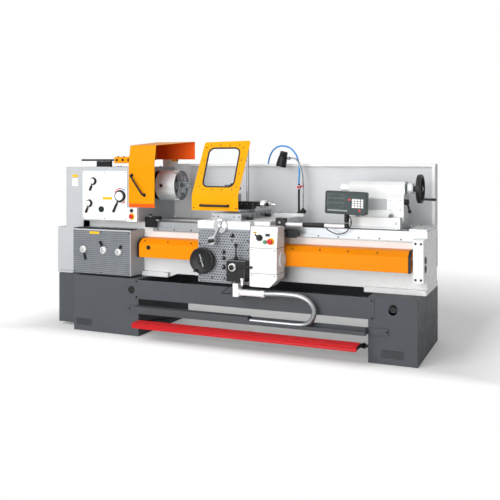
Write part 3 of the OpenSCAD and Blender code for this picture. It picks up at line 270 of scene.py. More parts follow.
def facesFrom(bm, rings, m, closed=True, caps=True):
    n = len(rings[0])
    for a, b in zip(rings, rings[1:]):
        for k in range(n if closed else n - 1):
            j = (k + 1) % n
            face = bm.faces.new((a[k], a[j], b[j], b[k]))
            face.material_index = m
    if caps:
        for ring in (rings[0][::-1], rings[-1]):
            face = bm.faces.new(ring)
            face.material_index = m


def addBox(bm, x0, x1, y0, y1, z0, z1, m=0):
    low = [bm.verts.new(p) for p in ((x0, y0, z0), (x1, y0, z0), (x1, y1, z0), (x0, y1, z0))]
    high = [bm.verts.new(p) for p in ((x0, y0, z1), (x1, y0, z1), (x1, y1, z1), (x0, y1, z1))]
    facesFrom(bm, [low, high], m)


def sideAxes(axis):
    w = Vector(axis).normalized()
    u = w.cross(Vector(upward) if abs(w.z) < 0.9 else Vector(toRight)).normalized()
    return u, w.cross(u), w


def addTurn(bm, at, axis, profile, m=0, steps=32):
    # profile: pairs of distance along the axis and radius
    u, v, w = sideAxes(axis)
    at = Vector(at)
    rings = []
    for d, r in profile:
        r = max(r, 0.02)
        rings.append([bm.verts.new(at + w * d + (u * math.cos(a) + v * math.sin(a)) * r)
                      for a in (2 * math.pi * k / steps for k in range(steps))])
    facesFrom(bm, rings, m)


def addTube(bm, points, radius, m=0, sides=12):
    points = [Vector(p) for p in points]
    radii = radius if isinstance(radius, list) else [radius] * len(points)
    rings, u = [], None
    for i, p in enumerate(points):
        t = (points[min(i + 1, len(points) - 1)] - points[max(i - 1, 0)]).normalized()
        u = sideAxes(t)[0] if u is None else (u - t * u.dot(t)).normalized()
        v = t.cross(u)
        rings.append([bm.verts.new(p + (u * math.cos(a) + v * math.sin(a)) * radii[i])
                      for a in (2 * math.pi * k / sides for k in range(sides))])
    facesFrom(bm, rings, m)


def addPlate(bm, outline, at, u, v, thick, m=0):
    # outline in the plane of u and v, drawn out by thick along their cross product
    at, u, v = Vector(at), Vector(u).normalized(), Vector(v).normalized()
    w = u.cross(v).normalized() * thick
    low = [bm.verts.new(at + u * a + v * b) for a, b in outline]
    high = [bm.verts.new(p.co + w) for p in low]
    facesFrom(bm, [low, high], m)


def addBall(bm, at, r, m=0, steps=24):
    rings = steps // 2
    turns = [math.pi * i / rings for i in range(rings + 1)]
    addTurn(bm, at, upward, [(-r * math.cos(a), r * math.sin(a)) for a in turns], m, steps)


def addScrew(bm, at, axis, r, m=0):
    # socket head: chamfered rim and a sunk hexagon
    h = r * 0.55
    addTurn(bm, at, axis, [(-0.5, r), (h * 0.7, r), (h, r * 0.84), (h, r * 0.5)], m, 18)
    addTurn(bm, Vector(at) + Vector(axis).normalized() * 0.02, axis,
            [(h * 0.1, r * 0.48), (h * 0.35, r * 0.48)], m, 6)


def addScrews(bm, spots, axis, r, m=0):
    for at in spots:
        addScrew(bm, at, axis, r, m)


def addMarks(bm, at, axis, r, count, start, long, longer, every, width, m):
    # graduation lines on a turned rim, with every fifth or sixth one longer
    u, v, w = sideAxes(axis)
    for k in range(count):
        a = 2 * math.pi * k / count
        rim = Vector(at) + (u * math.cos(a) + v * math.sin(a)) * r
        addTube(bm, [rim + w * start, rim + w * (long if k % every else longer)], width, m, 4)


def roundOutline(w, h, r, steps=6):
    points = []
    for cx, cy, start in ((1, 1, 0), (-1, 1, 90), (-1, -1, 180), (1, -1, 270)):
        for k in range(steps + 1):
            a = math.radians(start + 90 * k / steps)
            points.append((cx * (w / 2 - r) + r * math.cos(a), cy * (h / 2 - r) + r * math.sin(a)))
    return points


def addFace(bm, w, h, r, at, thick, m=0):
    # rounded plate that faces the front
    addPlate(bm, roundOutline(w, h, r), at, toRight, upward, thick, m)


def addPanel(bm, x0, x1, z0, z1, r, y, thick, m=0):
    addFace(bm, x1 - x0, z1 - z0, r, ((x0 + x1) / 2, y, (z0 + z1) / 2), thick, m)


def corners(x0, x1, z0, z1, inset):
    return [(x, z) for x in (x0 + inset, x1 - inset) for z in (z0 + inset, z1 - inset)]


def smoothRoute(points, steps=8):
    pts = [Vector(p) for p in points]
    route = []
    for i in range(len(pts) - 1):
        a, b = pts[max(i - 1, 0)], pts[i]
        c, d = pts[i + 1], pts[min(i + 2, len(pts) - 1)]
        for k in range(steps):
            t = k / steps
            route.append(0.5 * (2 * b + (c - a) * t + (2 * a - 5 * b + 4 * c - d) * t * t
                                + (3 * b - 3 * c + d - a) * t ** 3))
    return route + [pts[-1]]


def bevelEdges(obj, width, segments=2, angle=40):
    mod = obj.modifiers.new("softEdge", "BEVEL")
    mod.width = width * mm
    mod.segments = segments
    mod.limit_method = "ANGLE"
    mod.angle_limit = math.radians(angle)
    mod.harden_normals = True


def makePiece(name, body, bm, mats, replaces=(), bevel=0, segments=2, sharp=38):
    bmesh.ops.recalc_face_normals(bm, faces=bm.faces)
    mesh = bpy.data.meshes.new(name)
    bm.to_mesh(mesh)
    bm.free()
    mesh.transform(Matrix.Scale(mm, 4))
    for key in [mats] if isinstance(mats, str) else mats:
        mesh.materials.append(finishes[key])
    for p in mesh.polygons:
        p.use_smooth = True
    mesh.set_sharp_from_angle(angle=math.radians(sharp))
    obj = bpy.data.objects.new(name, mesh)
    scene.collection.objects.link(obj)
    if bevel:
        bevelEdges(obj, bevel, segments)
    if body:
        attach(obj, body)
    if replaces:
        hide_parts(*([replaces] if isinstance(replaces, str) else replaces))
    return obj


def makeBlock(name, body, box, mat, bevel):
    bm = bmesh.new()
    addBox(bm, *box)
    return makePiece(name, body, bm, mat, bevel=bevel, segments=3)


# cords: the steel conduit to the carriage and the coolant hose, on the CAD's own routes

conduit = {"diameter": 38, "rib": 9, "dip": 0.5, "route": [
    (125, -480, 420), (220, -480, 420), (322, -480, 422), (410, -480, 427), (500, -479, 428),
    (575, -477, 423), (632, -474, 402), (668, -470, 366), (680, -464, 326), (673, -458, 286),
    (650, -452, 249), (612, -448, 226), (557, -446, 217), (470, -446, 216), (370, -446, 216),
    (280, -446, 216), (199, -446, 216), (130, -446, 216)]}

hose = {"diameter": 13, "route": [
    (316, 250, 1178), (316, 250, 1210), (315, 262, 1270), (306, 272, 1340), (280, 278, 1410),
    (235, 284, 1458), (180, 296, 1478), (120, 318, 1478), (60, 352, 1452), (15, 388, 1406),
    (-14, 414, 1340), (-26, 428, 1250), (-30, 432, 1120), (-30, 432, 960), (-30, 432, 800),
    (-30, 432, 640), (-30, 431, 520), (-30, 430, 440), (-30, 430, 400)]}


def evenRoute(points, step):
    fine = smoothRoute(points, 24)
    route, left = [fine[0]], step
    for a, b in zip(fine, fine[1:]):
        span = (b - a).length
        while left <= span:
            route.append(a.lerp(b, left / span))
            left += step
        left -= span
    if (route[-1] - fine[-1]).length < step * 0.5:
        route.pop()
    return route + [fine[-1]]


def makeCord(name, s, mat, node, dip=0.0, rib=6):
    route = evenRoute(s["route"], rib / 2)
    r = s["diameter"] / 2
    bm = bmesh.new()
    addTube(bm, route, [r - (dip if i % 2 else 0) for i in range(len(route))], 0, 14)
    obj = makePiece(name, None, bm, mat, node, sharp=80)
    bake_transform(obj)
    return obj


makeCord("conduitTube", conduit, "conduit", "cable_conduit", conduit["dip"], conduit["rib"])
makeCord("coolantHose", hose, "hose", "coolant_hose", 0, 16)
print("cords laid")


# floor and light

studio = {"floor": (30, 30), "sky": 0.2, "lamps": [
    # name, place, aim, size, watts
    ("keyLamp", (-2.6, -5.4, 4.8), (-0.1, 0, 0.7), 4.2, 190),
    ("lowLamp", (-0.2, -6.6, 1.7), (-0.1, 0, 0.8), 4.0, 265),
    ("fillLamp", (4.8, -4.4, 3.4), (0.2, 0, 0.8), 4.0, 4),
    ("topLamp", (0.2, -1.4, 5.6), (0, 0, 0.8), 4.0, 50),
    ("rearLamp", (-1.5, 5.2, 4.0), (0, 0, 0.9), 4.0, 20)]}


def makeStudio(s):
    world = bpy.data.worlds.new("studioSky")
    scene.world = world
    world.use_nodes = True
    tree = world.node_tree
    sky = tree.nodes["Background"]
    path = tree.nodes.new("ShaderNodeLightPath")
    seen = tree.nodes.new("ShaderNodeMath")
    seen.operation = "MAXIMUM"
    through = tree.nodes.new("ShaderNodeMath")
    through.operation = "MAXIMUM"
    tree.links.new(path.outputs["Is Camera Ray"], seen.inputs[0])
    tree.links.new(path.outputs["Is Glossy Ray"], seen.inputs[1])
    tree.links.new(seen.outputs[0], through.inputs[0])
    tree.links.new(path.outputs["Is Transmission Ray"], through.inputs[1])
    level = tree.nodes.new("ShaderNodeMapRange")
    level.inputs["To Min"].default_value = s["sky"]
    level.inputs["To Max"].default_value = 1.0  # seen straight, in metal or through glass it is white
    tree.links.new(through.outputs[0], level.inputs["Value"])
    tree.links.new(level.outputs["Result"], sky.inputs["Strength"])
    sky.inputs["Color"].default_value = (1, 1, 1, 1)

    bm = bmesh.new()
    w, d = s["floor"]
    addBox(bm, -w * 500, w * 500, -d * 500, d * 500, -20, -0.5)
    floor = makePiece("studioFloor", None, bm, "floor")
    for name, place, aim, size, watts in s["lamps"]:
        data = bpy.data.lights.new(name, "AREA")
        data.shape = "DISK"
        data.size = size
        data.energy = watts
        lamp = bpy.data.objects.new(name, data)
        scene.collection.objects.link(lamp)
        lamp.location = place
        lamp.rotation_euler = (Vector(aim) - Vector(place)).to_track_quat("-Z", "Y").to_euler()


def floorFinish():
    # pale floor: its shade is kept under and behind the machine, and with distance it fades into the white
    # background; in front and at both sides painted white light covers the cast shadow
    f = Finish("studioFloor")
    grain = f.noise(3, 4)
    f.colour(f.mix(f.spread(grain, 0, 1), (0.93, 0.93, 0.93, 1), (0.96, 0.96, 0.96, 1)))
    f.rough(f.spread(grain, 0.55, 0.65))
    white = f.add("ShaderNodeEmission", Strength=1.0)
    path = f.add("ShaderNodeLightPath")
    place = f.add("ShaderNodeVectorMath", operation="LENGTH")
    f.link(f.coord, place.inputs[0])
    split = f.add("ShaderNodeSeparateXYZ")
    f.link(f.coord, split.inputs["Vector"])
    paintedLightFront = f.spread(split.outputs["Y"], 1, 0, -0.62, -0.36)  # painted light: white over the cast shadow in front of the machine
    # painted light: white over the cast shadow at both sides of the machine
    left = f.spread(split.outputs["X"], 1, 0, -2.1, -1.6)
    right = f.spread(split.outputs["X"], 0, 1, 1.45, 2.2)
    sides = f.math("MAXIMUM", left, right)
    backdropAndPaintedLight = f.math("MAXIMUM", f.math("MAXIMUM", paintedLightFront, sides),
                 f.spread(place.outputs["Value"], 0.2, 1, 2.0, 4.2))
    seen = f.math("MAXIMUM", path.outputs["Is Camera Ray"],
                  f.math("MAXIMUM", path.outputs["Is Glossy Ray"], path.outputs["Is Transmission Ray"]))
    blend = f.add("ShaderNodeMixShader")
    f.link(f.math("MULTIPLY", backdropAndPaintedLight, seen), blend.inputs[0])
    f.link(f.shader.outputs[0], blend.inputs[1])
    f.link(white.outputs[0], blend.inputs[2])
    f.link(blend.outputs[0], f.tree.nodes["Material Output"].inputs["Surface"])
    return f.mat


finishes["floor"] = floorFinish()
makeStudio(studio)
print("studio lit")


# CAD pieces that keep their own shape: finish, and a small round on each edge

keptNodes = {
    "left_cabinet": ("cabinet", 4), "right_cabinet": ("cabinet", 4), "chip_tray": ("cabinet", 1.5),
    "cable_trough": ("cabinet", 1.2), "motor_cover": ("cabinet", 3), "bed": ("white", 3),
    "way_fittings": ("steel", 0), "headstock": ("lightGrey", 6), "feed_box": ("lightGrey", 5),
    "gear_cover": ("lightGrey", 5), "leadscrew_cover": ("orange", 1.0), "splash_guard": ("paleSheet", 1.0),
    "headstock_fittings": ("white", 2), "motor": ("motor", 0), "motor_pulley": ("steel", 0),
    "spindle": ("black", 0), "lead_screw": ("steel", 0), "feed_rod": ("steel", 0), "saddle": ("white", 4),
    "apron": ("midGrey", 3), "control_box": ("white", 5), "cross_slide": ("slideLight", 2),
    "compound_base": ("black", 2), "top_slide": ("black", 2), "tool_post": ("steel", 1.5),
    "tailstock": ("white", 5), "coolant_stand": ("white", 1.5), "readout_arm": ("white", 1),
}


def dressNode(name, finish, edge):
    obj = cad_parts[name]
    mat = finishes[finish]
    if obj.material_slots:
        for slot in obj.material_slots:
            slot.link = "OBJECT"
            slot.material = mat
    if edge:
        weld = obj.modifiers.new("joinCorners", "WELD")
        weld.merge_threshold = 0.01 * mm
        bevelEdges(obj, edge, 2, 50)


for name, (finish, edge) in keptNodes.items():
    dressNode(name, finish, edge)
print("kept nodes dressed:", len(keptNodes))


# base: pockets, screws, brake bar

base = {"front": -404, "pocketSize": (146, 46), "pockets": [(-1276, 69), (1206, 69)], "ribs": 4,
        "ribStep": 10, "holeRim": 54, "holes": [(-831, 356), (1212, 374)],
        "screws": [(-782, -408, 306), (-782, -408, 424), (1068, -408, 302), (1068, -408, 418),
                   (-840, -412, 216), (1170, -412, 218)], "screwR": 7}


def makeBaseTrim(s):
    bm = bmesh.new()
    (w, h), y = s["pocketSize"], s["front"]
    for x, z in s["pockets"]:
        # pocket floors and ribs in dark grey: painted shade in the recesses
        addFace(bm, w, h, 14, (x, y + 4, z), 0.6)
        for k in range(s["ribs"]):  # pressed ribs inside the pocket
            low = z - 17 + k * s["ribStep"]
            addBox(bm, x - w / 2 + 12, x + w / 2 - 12, y + 2.2, y + 4, low, low + 4)
    makePiece("liftPockets", "frame", bm, "cabinetDark", bevel=0.6)
    bm = bmesh.new()
    r = s["holeRim"] / 2
    for x, z in s["holes"]:
        addTurn(bm, (x, y, z), toFront, [(-9, r - 5), (1.5, r - 5), (2.5, r - 3), (2.5, r - 1), (0, r + 2)])
    makePiece("cableGrommets", "frame", bm, "blackPlastic")
    bm = bmesh.new()
    addScrews(bm, s["screws"], toFront, s["screwR"])
    makePiece("baseScrews", "frame", bm, "black")


brake = {"x0": -699, "x1": 1015, "front": -600, "back": -490, "top": 150, "skirt": 114, "skin": 3.5,
         "ribs": 4, "arms": [-698, 158, 1000], "armWidth": 14, "armZ": (118, 144), "pivot": (-380, 105),
         "shaftR": 10, "shaftX": (-773, 1049)}


def makeBrake(s):
    f, b, t = s["front"], s["back"], s["top"]
    mid = (s["skirt"] + t) / 2
    line = [(f - 3, s["skirt"]), (f - 3, mid - 3), (f - 1.4, mid), (f - 3, mid + 3), (f - 3, t - 3), (f, t)]
    step = (b - f) / s["ribs"]
    for k in range(s["ribs"]):  # round ribs along the tread
        y = f + step * (k + 0.5)
        line += [(y - 8, t), (y - 6, t + 3), (y - 2, t + 4), (y + 2, t + 4), (y + 6, t + 3), (y + 8, t)]
    line += [(b, t), (b, t - s["skin"]), (f + s["skin"], t - s["skin"]), (f + s["skin"], s["skirt"])]
    bm = bmesh.new()
    addPlate(bm, line, (s["x0"], 0, 0), toRear, upward, s["x1"] - s["x0"], 0)
    for x in (s["x0"] + 2, s["x1"] - 6):
        addBox(bm, x, x + 4, f, b, s["skirt"] + 6, t - 2, 0)
    (z0, z1), (py, pz) = s["armZ"], s["pivot"]
    for x in s["arms"]:
        addPlate(bm, [(f + 4, z1), (f + 4, z0 + 6), (b, z0), (py - 8, pz - 12), (py + 9, pz - 11),
                      (py + 13, pz), (py + 10, pz + 12), (b + 2, z1)], (x, 0, 0), toRear, upward,
                 s["armWidth"], 1)
    (x0, x1), r = s["shaftX"], s["shaftR"]
    addTurn(bm, (x0, py, pz), toRight, [(0, r - 2), (2, r), (x1 - x0 - 2, r), (x1 - x0, r - 2)], 1, 24)
    for x in s["arms"]:
        addTurn(bm, (x - 6, py, pz), toRight, [(0, 17), (2, 19), (24, 19), (26, 17)], 1, 24)
    addScrew(bm, (s["x1"] - 1, f + 20, mid), toRight, 8, 1)
    makePiece("brakeBar", "brake_pedal", bm, ["red", "black"], "brake_pedal", bevel=0.8)


makeBaseTrim(base)
makeBrake(brake)
print("base done")


# bed: ground ways, rack screws, end bracket

bed = {"top": 873, "side": 200, "rail": 105, "vee": (160, 14, 10), "x0": -828, "x1": 1400, "bright": 46,
       "rackFront": -220, "rackZ": 818, "rackStep": 148, "rackX": (-700, 1320), "skin": 0.25,
       "endX": (1332, 1400), "endFront": -350, "endZ": (545, 829), "plugs": [(-270, 690), (-270, 632)]}


def makeWays(s):
    bm = bmesh.new()
    t, w, low, skin = s["top"], s["side"], -s["bright"], s["skin"]
    veeY, half, high = s["vee"]
    for side in (-1, 1):
        line = [(w - s["rail"], -skin), (w - s["rail"], skin), (veeY - half, skin), (veeY, high + skin),
                (veeY + half, skin), (w + skin, skin), (w + skin, low), (w - skin, low), (w - skin, -skin),
                (veeY + half, -skin), (veeY, high - skin), (veeY - half, -skin)]
        line = [(y * side, t + z) for y, z in line][::side]
        addPlate(bm, line, (s["x0"], 0, 0), toRear, upward, s["x1"] - s["x0"])
    makePiece("groundWays", "frame", bm, "steel")
    bm = bmesh.new()
    for x in range(*s["rackX"], s["rackStep"]):
        addScrew(bm, (x, s["rackFront"], s["rackZ"]), toFront, 6)
    (x0, x1), (z0, z1) = s["endX"], s["endZ"]
    for x, z in ((x0 + 16, z0 + 22), (x1 - 16, z0 + 22), (x0 + 16, z1 - 22), (x1 - 16, z1 - 22)):
        addScrew(bm, (x, s["endFront"], z), toFront, 8)
    for y, z in s["plugs"]:  # bearings of the lead screw and the feed rod
        addTurn(bm, (x1, y, z), toRight, [(-1, 26), (3, 26), (5, 23), (5, 9), (2, 8)])
    makePiece("bedScrews", "frame", bm, "black")


makeWays(bed)
print("bed done")


# headstock: plates, labels, sight glass, stop panel

head = {"plate": (-1362, -934, 883, 1278), "plateFront": -305, "screwIn": 12,
        "sight": (-1177, 969), "sightFront": -313, "stop": (-880, 920), "stopFront": -322, "jog": (-880, 966),
        "labelsGrey": [(-1450, 1236, 58, 20, 1), (-1450, 1184, 58, 62, 0)], "greyFront": -290,
        "labelYellow": (-1120, 1058, 92, 22), "rangeR": (56, 64), "dotR": 46, "dotStep": 24}
# each lever: x, z, width of its disc, length of its arm, turn from upright
speedLevers = {"speed_lever_upper": (-1255, 1195, 62, 84, -158),
               "speed_lever_lower": (-1294, 1015, 62, 84, -158), "range_lever": (-995, 1078, 98, 146, -153)}


def addArc(bm, x, z, y, r0, r1, a0, a1, thick, m):
    # flat ring piece, angles in degrees from straight up, turning right
    steps = 10
    turn = [math.radians(a0 + (a1 - a0) * k / steps) for k in range(steps + 1)]
    outline = [(r1 * math.sin(a), r1 * math.cos(a)) for a in turn]
    outline += [(r0 * math.sin(a), r0 * math.cos(a)) for a in reversed(turn)]
    addPlate(bm, outline[::-1], (x, y, z), toRight, upward, thick, m)


def makeHeadPlates(s):
    x0, x1, z0, z1 = s["plate"]
    y = s["plateFront"]
    bm = bmesh.new()
    addPanel(bm, x0, x1, z0, z1, 10, y, 1.2)
    makePiece("headPlate", "frame", bm, "plate", bevel=0.5)
    bm = bmesh.new()
    i = s["screwIn"]
    for x, z in ((x0 + i, z0 + i), (x1 - i, z0 + i), (x0 + i, z1 - i), (x1 - i, z1 - i),
                 ((x0 + x1) / 2, z1 - i), ((x0 + x1) / 2, z0 + i)):
        addScrew(bm, (x, y - 1.2, z), toFront, 5)
    makePiece("headPlateScrews", "frame", bm, "zinc")
    bm = bmesh.new()
    for x, z, w, h, m in s["labelsGrey"]:  # bare label places
        addFace(bm, w, h, 3, (x, s["greyFront"], z), 0.6, m)
    x, z, w, h = s["labelYellow"]
    addFace(bm, w, h, 2, (x, y - 1.2, z), 0.6, 1)
    x, z = speedLevers["range_lever"][:2]
    # range marks round the large lever
    for a0, a1, m in ((-34, 4, 2), (8, 46, 3), (-64, -38, 2), (134, 166, 2)):
        addArc(bm, x, z, y - 1.2, *s["rangeR"], a0, a1, 0.5, m)
    r = s["dotR"]
    for node in ("speed_lever_upper", "speed_lever_lower"):
        x, z = speedLevers[node][:2]
        for k in range(5):  # position dots round the small levers
            a = math.radians(30 + k * s["dotStep"])
            spot = (x + r * math.sin(a), y - 1.2, z + r * math.cos(a))
            addTurn(bm, spot, toFront, [(-0.2, 3.2), (0.6, 3.2)], 4, 12)
    makePiece("headMarks", "frame", bm, ["whitePlastic", "yellowPlastic", "redPlastic", "bluePlastic",
                                         "blackPlastic"])
    bm = bmesh.new()
    x, z = s["sight"]
    addTurn(bm, (x, s["sightFront"], z), toFront, [(-7, 24), (2, 24), (4, 22), (4, 15), (1, 14)], 0)
    addTurn(bm, (x, s["sightFront"], z), toFront, [(-2, 14), (1.5, 14), (2.6, 10), (3, 4)], 1)
    makePiece("oilSight", "frame", bm, ["black", "screen"])
    bm = bmesh.new()
    (x, z), y = s["stop"], s["stopFront"]
    addTurn(bm, (x, y, z), toFront, [(-0.5, 27), (1.6, 27), (2.2, 26.2), (2.2, 8)], 0, 40)
    x, z = s["jog"]
    addTurn(bm, (x, y, z), toFront, [(-0.5, 16), (2.4, 16), (3.2, 15), (3.2, 7)], 1)
    makePiece("stopRings", "frame", bm, ["yellowPlastic", "zinc"])


makeHeadPlates(head)


# feed box: pressed front panel, top mat

feed = {"panel": (-1379, -843, 464, 806), "front": -404, "mat": (-1383, -839, -400, -306, 816, 821),
        "label": (-1175, 788, 92, 18), "matRib": 12}


def makeFeedPanels(s):
    x0, x1, z0, z1 = s["panel"]
    bm = bmesh.new()
    addPanel(bm, x0, x1, z0, z1, 6, s["front"], 1.5)
    makePiece("feedPanel", "frame", bm, "pressed", bevel=0.5)
    bm = bmesh.new()
    mx0, mx1, my0, my1, _, mz1 = s["mat"]
    addBox(bm, *s["mat"])
    for y in range(my0 + 3, my1 - s["matRib"] + 3, s["matRib"]):  # low ribs of the tool mat
        addBox(bm, mx0 + 4, mx1 - 4, y, y + 6, mz1 - 0.5, mz1 + 1.2)
    addBox(bm, x0 - 4, x1 + 4, s["front"] - 2.5, s["front"], z0 - 8, z0 - 1)
    makePiece("feedMat", "frame", bm, "rubber", bevel=0.7)
    bm = bmesh.new()
    for x in (x0 + 10, (x0 + x1) / 2, x1 - 10):
        for z in (z0 + 10, z1 - 10):
            addScrew(bm, (x, s["front"] - 1.5, z), toFront, 5, 0)
    lx, lz, w, h = s["label"]
    addFace(bm, w, h, 2, (lx, s["front"] - 1.5, lz), 0.5, 1)
    makePiece("feedTrim", "frame", bm, ["black", "yellowPlastic"])


makeFeedPanels(feed)


# levers: turned hub with a face disc, round arm and a tapered grip

feedLevers = {"feed_lever_left": (-1277, 652, 56, 84, 165), "feed_lever_middle": (-1085, 654, 56, 78, -25),
              "feed_lever_right": (-944, 645, 56, 60, 25)}
leverSet = {"headFront": -305.4, "feedFront": -404.4, "disc": 24, "arm": 12, "grip": 18, "gripShare": 0.5}


def makeLever(node, x, z, discWidth, arm, turn, front, hubMat, faceMat, slot, s):
    r, d = discWidth / 2, s["disc"]
    y = front - d
    bm = bmesh.new()
    addTurn(bm, (x, front, z), toFront, [(-12, 8), (2.2, 8), (2.2, r - 2), (4, r), (d * 0.55, r),
                                         (d * 0.75, r - 2), (d, r * 0.74), (d, r * 0.7)], 0, 40)
    addTurn(bm, (x, y, z), toFront, [(-1, r * 0.7), (0.4, r * 0.7), (0.8, r * 0.66), (0.8, 2)], 1, 40)
    a = math.radians(turn)
    way = Vector((math.sin(a), 0, math.cos(a)))
    side = Vector((math.cos(a), 0, -math.sin(a)))
    start = Vector((x, y + d / 2, z))
    g, t = s["grip"] / 2, s["arm"] / 2
    cut = arm * (1 - s["gripShare"])
    addTurn(bm, start, way, [(r * 0.5, t), (cut, t), (cut + 1, g * 0.8), (cut + 6, g * 0.92), (arm - 10, g),
                             (arm - 3, g * 0.9), (arm, g * 0.55)], 2, 24)
    # pointer line on the face
    addPlate(bm, [(-1.4, r * 0.18), (1.4, r * 0.18), (1.4, r * 0.6), (-1.4, r * 0.6)][::-1],
             (x, y - 0.7, z), side, way, 0.5, 2)
    makePiece(node + "Knob", node, bm, [hubMat, faceMat, "blackPlastic"], node)


for node, values in speedLevers.items():
    makeLever(node, *values, leverSet["headFront"], "blackPlastic", "plate", "black_plastic", leverSet)
for node, values in feedLevers.items():
    makeLever(node, *values, leverSet["feedFront"], "whitePlastic", "chrome", "white_plastic", leverSet)


# push buttons: x, z, front of the panel, width, depth, finish, slot

buttons = {"headstock_estop": (-880, 920, -322, 36, 14, "redPlastic", "red_plastic"),
           "jog_button": (-880, 966, -322, 24, 10, "blackPlastic", "black_plastic"),
           "start_button": (332, 789, -506, 20, 8, "greenPlastic", "green_plastic"),
           "panel_estop": (375, 795, -506, 38, 14, "redPlastic", "red_plastic")}
buttonGap = 5  # travel and a little room behind the head


def makeButton(node, x, z, front, width, depth, mat, slot):
    r = width / 2
    bm = bmesh.new()
    line = [(-12, 5), (0, 5), (0, r * 0.62), (depth * 0.35, r * 0.66), (depth * 0.5, r * 0.97),
            (depth * 0.7, r), (depth * 0.9, r * 0.9), (depth, r * 0.6), (depth, 1)]
    addTurn(bm, (x, front - buttonGap, z), toFront, line, 0, 36)
    makePiece(node + "Head", node, bm, mat, node, sharp=50)


for node, values in buttons.items():
    makeButton(node, *values)
print("headstock controls done")


# chuck: turned body with key holes and bolts, stepped jaws

chuck = {"x0": -788, "x1": -610, "r": 125, "bore": 36, "axis": 1159, "wayWidth": 36.8, "wayDeep": 38.4,
         "jawAt": (30, 150, 270), "jawR": (42, 114), "jawHalf": 18, "jawBack": 38, "step": 34, "stepOut": 25,
         "jawOut": 50, "plateX": (-824, -788), "plateR": 118, "faceR": 44, "keyX": 58, "boltR": 96,
         "plateBolts": 6}


def aroundX(degrees, x, across, out, axisZ):
    # point at a turn about the spindle axis, across the jaw and out from the axis
    a = math.radians(degrees)
    return Vector((x, across * math.cos(a) - out * math.sin(a),
                   axisZ + across * math.sin(a) + out * math.cos(a)))


def makeChuckBody(s):
    # body as a ring of wedges, so that the three jaw ways are really open
    bm = bmesh.new()
    front, back, mid = s["x1"], s["x0"], s["x1"] - s["wayDeep"]
    half, r, bore, axis = s["wayWidth"] / 2, s["r"], s["bore"], s["axis"]
    deep = mid - back
    line = [(0, bore), (0, r - 4), (4, r), (deep - 3, r), (deep, r - 0.6), (deep, bore)]
    addTurn(bm, (back, 0, axis), toRight, line, 0, 72)
    steps = 18

    def onCircle(radius, turns):
        return [(-radius * math.sin(t), radius * math.cos(t)) for t in turns]

    def addWedge(line, x, thick, m):
        addPlate(bm, [(y, z + axis) for y, z in line], (x, 0, 0), toRear, upward, thick, m)

    for a in s["jawAt"]:
        lo = math.asin(half / r)
        start, end = math.radians(a) + lo, math.radians(a + 120) - lo
        rim = [start + (end - start) * k / steps for k in range(steps + 1)]
        inLo = math.asin(half / bore)
        inner = [math.radians(a) + inLo, math.radians(a + 60), math.radians(a + 120) - inLo]
        addWedge(onCircle(r, rim) + onCircle(bore, reversed(inner)), mid, front - mid, 0)
        cut = math.asin((half + 2) / (r - 3))
        face = [math.radians(a) + cut + (math.radians(120) - 2 * cut) * k / steps for k in range(steps + 1)]
        inner = [math.radians(a + 80), math.radians(a + 40)]
        addWedge(onCircle(r - 3, face) + onCircle(s["faceR"], inner), front, 0.5, 1)  # front face in darker steel: painted dark reflection
    makePiece("chuckBody", "spindle", bm, ["turned", "darkSteel"], "chuck", bevel=1.2)
    bm = bmesh.new()
    for a in s["jawAt"]:  # key socket in a ring between the jaws, and two bolts
        out = aroundX(a + 60, back + s["keyX"], 0, r, axis)
        way = aroundX(a + 60, 0, 0, 1, 0).normalized()
        addTurn(bm, out, way, [(-0.8, 16), (0.6, 16), (0.6, 11)], 0, 28)
        addTurn(bm, out, way, [(-6, 10), (0.7, 10)], 1, 4)
        addScrews(bm, [aroundX(turn, front, 0, s["boltR"], axis) for turn in (a + 34, a + 86)], toRight, 8, 1)
    makePiece("chuckTrim", "spindle", bm, ["zinc", "black"])
    bm = bmesh.new()
    (x0, x1), r = s["plateX"], s["plateR"]
    deep = x1 - x0
    addTurn(bm, (x0, 0, axis), toRight, [(-0.3, r * 0.5), (-0.3, r - 3), (2, r + 0.4), (deep - 10, r + 0.4),
                                         (deep - 8, r - 2), (deep - 0.5, r - 2)], 0, 64)
    turns = [k * 360 // s["plateBolts"] + 15 for k in range(s["plateBolts"])]
    addScrews(bm, [aroundX(turn, x0, 0, r - 18, axis) for turn in turns], toLeft, 8)
    makePiece("backPlate", "spindle", bm, "black")


def makeJaw(node, turn, s):
    bm = bmesh.new()
    (r0, r1), w, axis = s["jawR"], s["jawHalf"], s["axis"]
    back, step, out = s["x1"] - s["jawBack"], s["x1"] + s["stepOut"], s["x1"] + s["jawOut"]
    rise = r0 + s["step"]
    line = [(back, r0), (back, r1), (step, r1), (step, rise), (out, rise), (out, r0)]
    sides = [[bm.verts.new(aroundX(turn, x, across, r, axis)) for x, r in line] for across in (-w, w)]
    facesFrom(bm, sides, 0)
    addScrews(bm, [aroundX(turn, step, 0, r, axis) for r in (r0 + 52, r0 + 64)], toRight, 4.5, 1)
    for k in range(4):  # gripping teeth on the inner step
        x = s["x1"] + 12 + k * 9
        addTube(bm, [aroundX(turn, x, across, r0, axis) for across in (2 - w, w - 2)], 1.6, 0, 6)
    makePiece(node + "Block", node, bm, ["steel", "black"], node, bevel=1.2)


makeChuckBody(chuck)
for number, turn in enumerate(chuck["jawAt"]):
    makeJaw("jaw_%d" % (number + 1), turn, chuck)
print("chuck done")


# chuck guard: bent yellow sheet, its inner faces and bottom lip in a darker orange-red as painted shade, with
# hub, rod and handle

guard = {"x0": -915, "x1": -678, "t": 3, "front": -312, "z0": 1022, "lip": (-305, 992), "fold": 1338,
         "slant": (-288, 1482), "rear": 120, "rearZ": (1371, 1519), "wing": 128, "bend": 6, "cheekY": -150,
         "hub": (-1076, -915, -275, -235, 1340, 1392), "rod": (-1410, -255, 1366, 7.4),
         "lug": (-766, -754, 118, 204, 1354, 1400), "pin": (-822, -754, 190, 1366, 8),
         "grip": [(-885, 1246), (-770, 1090)], "gripOut": 30, "gripR": 7}


